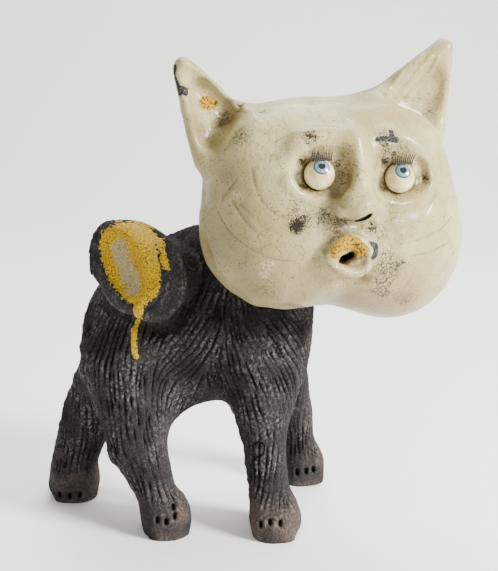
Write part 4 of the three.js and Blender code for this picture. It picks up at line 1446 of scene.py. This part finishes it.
@dataclass
class Eye:
    """An eyeball that looks up and past the camera."""

    side: Side
    gaze_pixel: Pixel
    radius: float = 8 * MM
    cornea: float = 0.55
    bulge: float = 0.35 * MM
    around: int = 64
    down: int = 40

    def centre(self) -> Vector:
        """Return the eyeball's centre."""
        low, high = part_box(self.side.eye)
        return (Vector(low) + Vector(high)) / 2

    def gaze(self) -> Vector:
        """Return the way that the eye looks: from its centre to where its pupil shows."""
        start, way = Vector(SIGHT.place), SIGHT.ray(self.gaze_pixel)
        offset = start - self.centre()
        half = offset.dot(way)
        reach = half**2 - offset.length_squared + self.radius**2
        near = start + way * (-half - math.sqrt(max(reach, 0)))
        return (near - self.centre()).normalized()

    def build(self, material: bpy.types.Material) -> None:
        """Make the eyeball."""
        shape = bmesh.new()
        bmesh.ops.create_uvsphere(
            shape, u_segments=self.around, v_segments=self.down, radius=self.radius
        )
        turn = Vector((0, 0, 1)).rotation_difference(self.gaze()).to_matrix()
        layer = shape.verts.layers.float.new("gaze")
        for vert in shape.verts:
            angle = vert.co.angle(Vector((0, 0, 1)))
            vert[layer] = angle
            vert.co.z += self.bulge * max(0.0, 1 - (angle / self.cornea) ** 2)
        place = Matrix.Translation(self.centre()) @ turn.to_4x4()
        bmesh.ops.transform(shape, matrix=place, verts=shape.verts)
        piece = add_object(f"{self.side.value}_eyeball", shape)
        hand_over(piece, self.side.eye, material)


@dataclass
class Lashes:
    """A strip of bristles over an eyeball."""

    side: Side
    fan: float
    seed: int
    count: int = 11
    bristle: float = 0.36 * MM
    band: float = 0.42 * MM
    half_width: float = 5.2 * MM
    gap: float = 0.7 * MM
    droop: float = 0.35 * MM
    turn: float = math.radians(20)
    rise: float = math.radians(64)
    middle: float = 0.85
    tip: float = 0.35
    overlap: float = 0.2
    sway: float = 0.05
    forward: tuple[float, float] = (0.05, 0.2)
    lengths: tuple[float, float] = (0.82, 0.98)
    bend_at: float = 0.55
    bend_lean: float = 0.6
    sides: int = 5

    def build(self, material: bpy.types.Material) -> None:
        """Make the strip and its bristles in the space that their solid holds."""
        rng = np.random.default_rng(self.seed)
        shape = bmesh.new()
        layer = shape.verts.layers.float.new("reach")
        along = Vector((math.cos(self.turn), math.sin(self.turn), 0))
        out = Vector((math.sin(self.turn), -math.cos(self.turn), 0))
        up = Vector((0, 0, 1))
        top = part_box(f"{self.side.value}_lashes")[1].z
        roots = self.roots(along, out)
        for (_, a), (_, b) in zip(roots[:-1], roots[1:]):
            self.rod(shape, layer, (a, b + (b - a) * self.overlap), (self.band, self.band), (0.0, 0.0))
        for share, root in roots:
            lean = along * (self.fan * share + rng.uniform(-self.sway, self.sway))
            lean += out * rng.uniform(*self.forward)
            length = (top - root.z) * rng.uniform(*self.lengths)
            bend = root + (up + lean * self.bend_lean) * (length * self.bend_at)
            tip = root + (up + lean) * length
            thick, thin = self.bristle * self.middle, self.bristle * self.tip
            self.rod(shape, layer, (root, bend), (self.bristle, thick), (0.1, 0.6))
            self.rod(shape, layer, (bend, tip), (thick, thin), (0.6, 1.0))
        piece = add_object(f"{self.side.value}_lash_strip", shape)
        hand_over(piece, f"{self.side.value}_lashes", material)

    def roots(self, along: Vector, out: Vector) -> list[tuple[float, Vector]]:
        """Return where the bristles stand: an arc just clear of the eyeball.

        Args:
            along: the way from the strip's first bristle to its last.
            out: the way out of the socket.

        Returns:
            Each bristle's share of the way, -1 to 1, and the place of its root.
        """
        low, high = (Vector(corner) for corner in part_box(self.side.eye))
        reach = (high.z - low.z) / 2 + self.gap
        roots = []
        for i in range(self.count):
            share = 2 * i / (self.count - 1) - 1
            x = share * self.half_width
            root = (low + high) / 2 + along * x + out * (math.sqrt(reach**2 - x**2) * math.cos(self.rise))
            root.z += reach * math.sin(self.rise) - self.droop * share**2
            roots.append((share, root))
        return roots

    def rod(
        self,
        shape: bmesh.types.BMesh,
        layer: bmesh.types.BMLayerItem,
        ends: tuple[Vector, Vector],
        radii: tuple[float, float],
        reach: tuple[float, float],
    ) -> None:
        """Add a tapered round rod.

        Args:
            shape: what the rod is added to.
            layer: where its reach along the bristle is kept.
            ends: the middles of its two ends.
            radii: the radius at each end.
            reach: how far along the bristle each end is, 0 to 1.
        """
        way = ends[1] - ends[0]
        made = bmesh.ops.create_cone(
            shape, cap_ends=True, segments=self.sides, radius1=radii[0], radius2=radii[1], depth=way.length
        )["verts"]
        for vert in made:
            vert[layer] = reach[0] if vert.co.z < 0 else reach[1]
        turn = Vector((0, 0, 1)).rotation_difference(way).to_matrix().to_4x4()
        place = Matrix.Translation((ends[0] + ends[1]) / 2)
        bmesh.ops.transform(shape, matrix=place @ turn, verts=made)


@dataclass(frozen=True)
class Lamp:
    """A square lamp that faces the cat."""

    name: str
    place: tuple[float, float, float]
    size: float
    watts: float
    aim: tuple[float, float, float] = (0, 0, 0.15)

    def build(self) -> None:
        """Add the lamp."""
        data = bpy.data.lights.new(self.name, "AREA")
        data.size = self.size
        data.energy = self.watts
        lamp = bpy.data.objects.new(self.name, data)
        lamp.location = self.place
        lamp.rotation_euler = (Vector(self.place) - Vector(self.aim)).to_track_quat("Z", "Y").to_euler()
        bpy.context.scene.collection.objects.link(lamp)


@dataclass
class Studio:
    """A pale floor that runs up into a backdrop, and soft light from large lamps."""

    floor: Colour = rgb(246, 245, 243)
    half_width: float = 3.0
    bend_at: float = 1.0
    bend_radius: float = 0.9
    sky: float = 0.82
    sky_colour: Colour = (1.0, 0.995, 0.985, 1.0)
    rows: int = 60
    lamps: tuple[Lamp, ...] = (
        Lamp("key", (1.3, -0.62, 0.72), 0.42, 88.0),
        Lamp("fill", (-0.95, -0.8, 0.6), 0.9, 1.0),
        Lamp("top", (0.1, 0.6, 1.5), 1.0, 36.0),
    )

    def build(self) -> None:
        """Make the floor, the lamps and the camera."""
        shape = bmesh.new()
        bmesh.ops.create_grid(shape, x_segments=1, y_segments=self.rows, size=self.half_width)
        for vert in shape.verts:
            past = vert.co.y - self.bend_at
            if past > 0:
                angle = min(past / self.bend_radius, math.pi / 2)
                straight = max(0, past - self.bend_radius * math.pi / 2)
                vert.co.y = self.bend_at + self.bend_radius * math.sin(angle)
                vert.co.z = self.bend_radius * (1 - math.cos(angle)) + straight
        floor = add_object("floor", shape)
        floor.data.shade_smooth()
        material, nodes, _ = new_material("studio_floor")
        nodes.surface({"Base Color": self.floor, "Roughness": 0.9})
        floor.data.materials.append(material)
        world = bpy.data.worlds.new("studio")
        world.use_nodes = True
        background = world.node_tree.nodes["Background"].inputs
        background["Color"].default_value = self.sky_colour
        background["Strength"].default_value = self.sky
        bpy.context.scene.world = world
        for lamp in self.lamps:
            lamp.build()
        SIGHT.add_camera()


def main() -> None:
    """Build the cat and its studio, piece by piece."""
    logging.basicConfig(level=logging.INFO, format="%(name)s: %(message)s")
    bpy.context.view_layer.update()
    effects = Effects()
    Studio().build()
    head = Head().build()
    head.finish("crackle_glaze", CrackleGlaze().material(effects))
    body = Body().build(head.tree())
    body.finish("smoked_clay", SmokedClay().material(effects))
    enamel, fibre = EyeEnamel().material(), LashFibre().material()
    Eye(Side.RIGHT, (322, 166)).build(enamel)
    Eye(Side.LEFT, (403.5, 170)).build(enamel)
    Lashes(Side.RIGHT, fan=0.04, seed=SEED + 5).build(fibre)
    Lashes(Side.LEFT, fan=0.36, seed=SEED + 4).build(fibre)


if __name__ == "__main__":
    main()
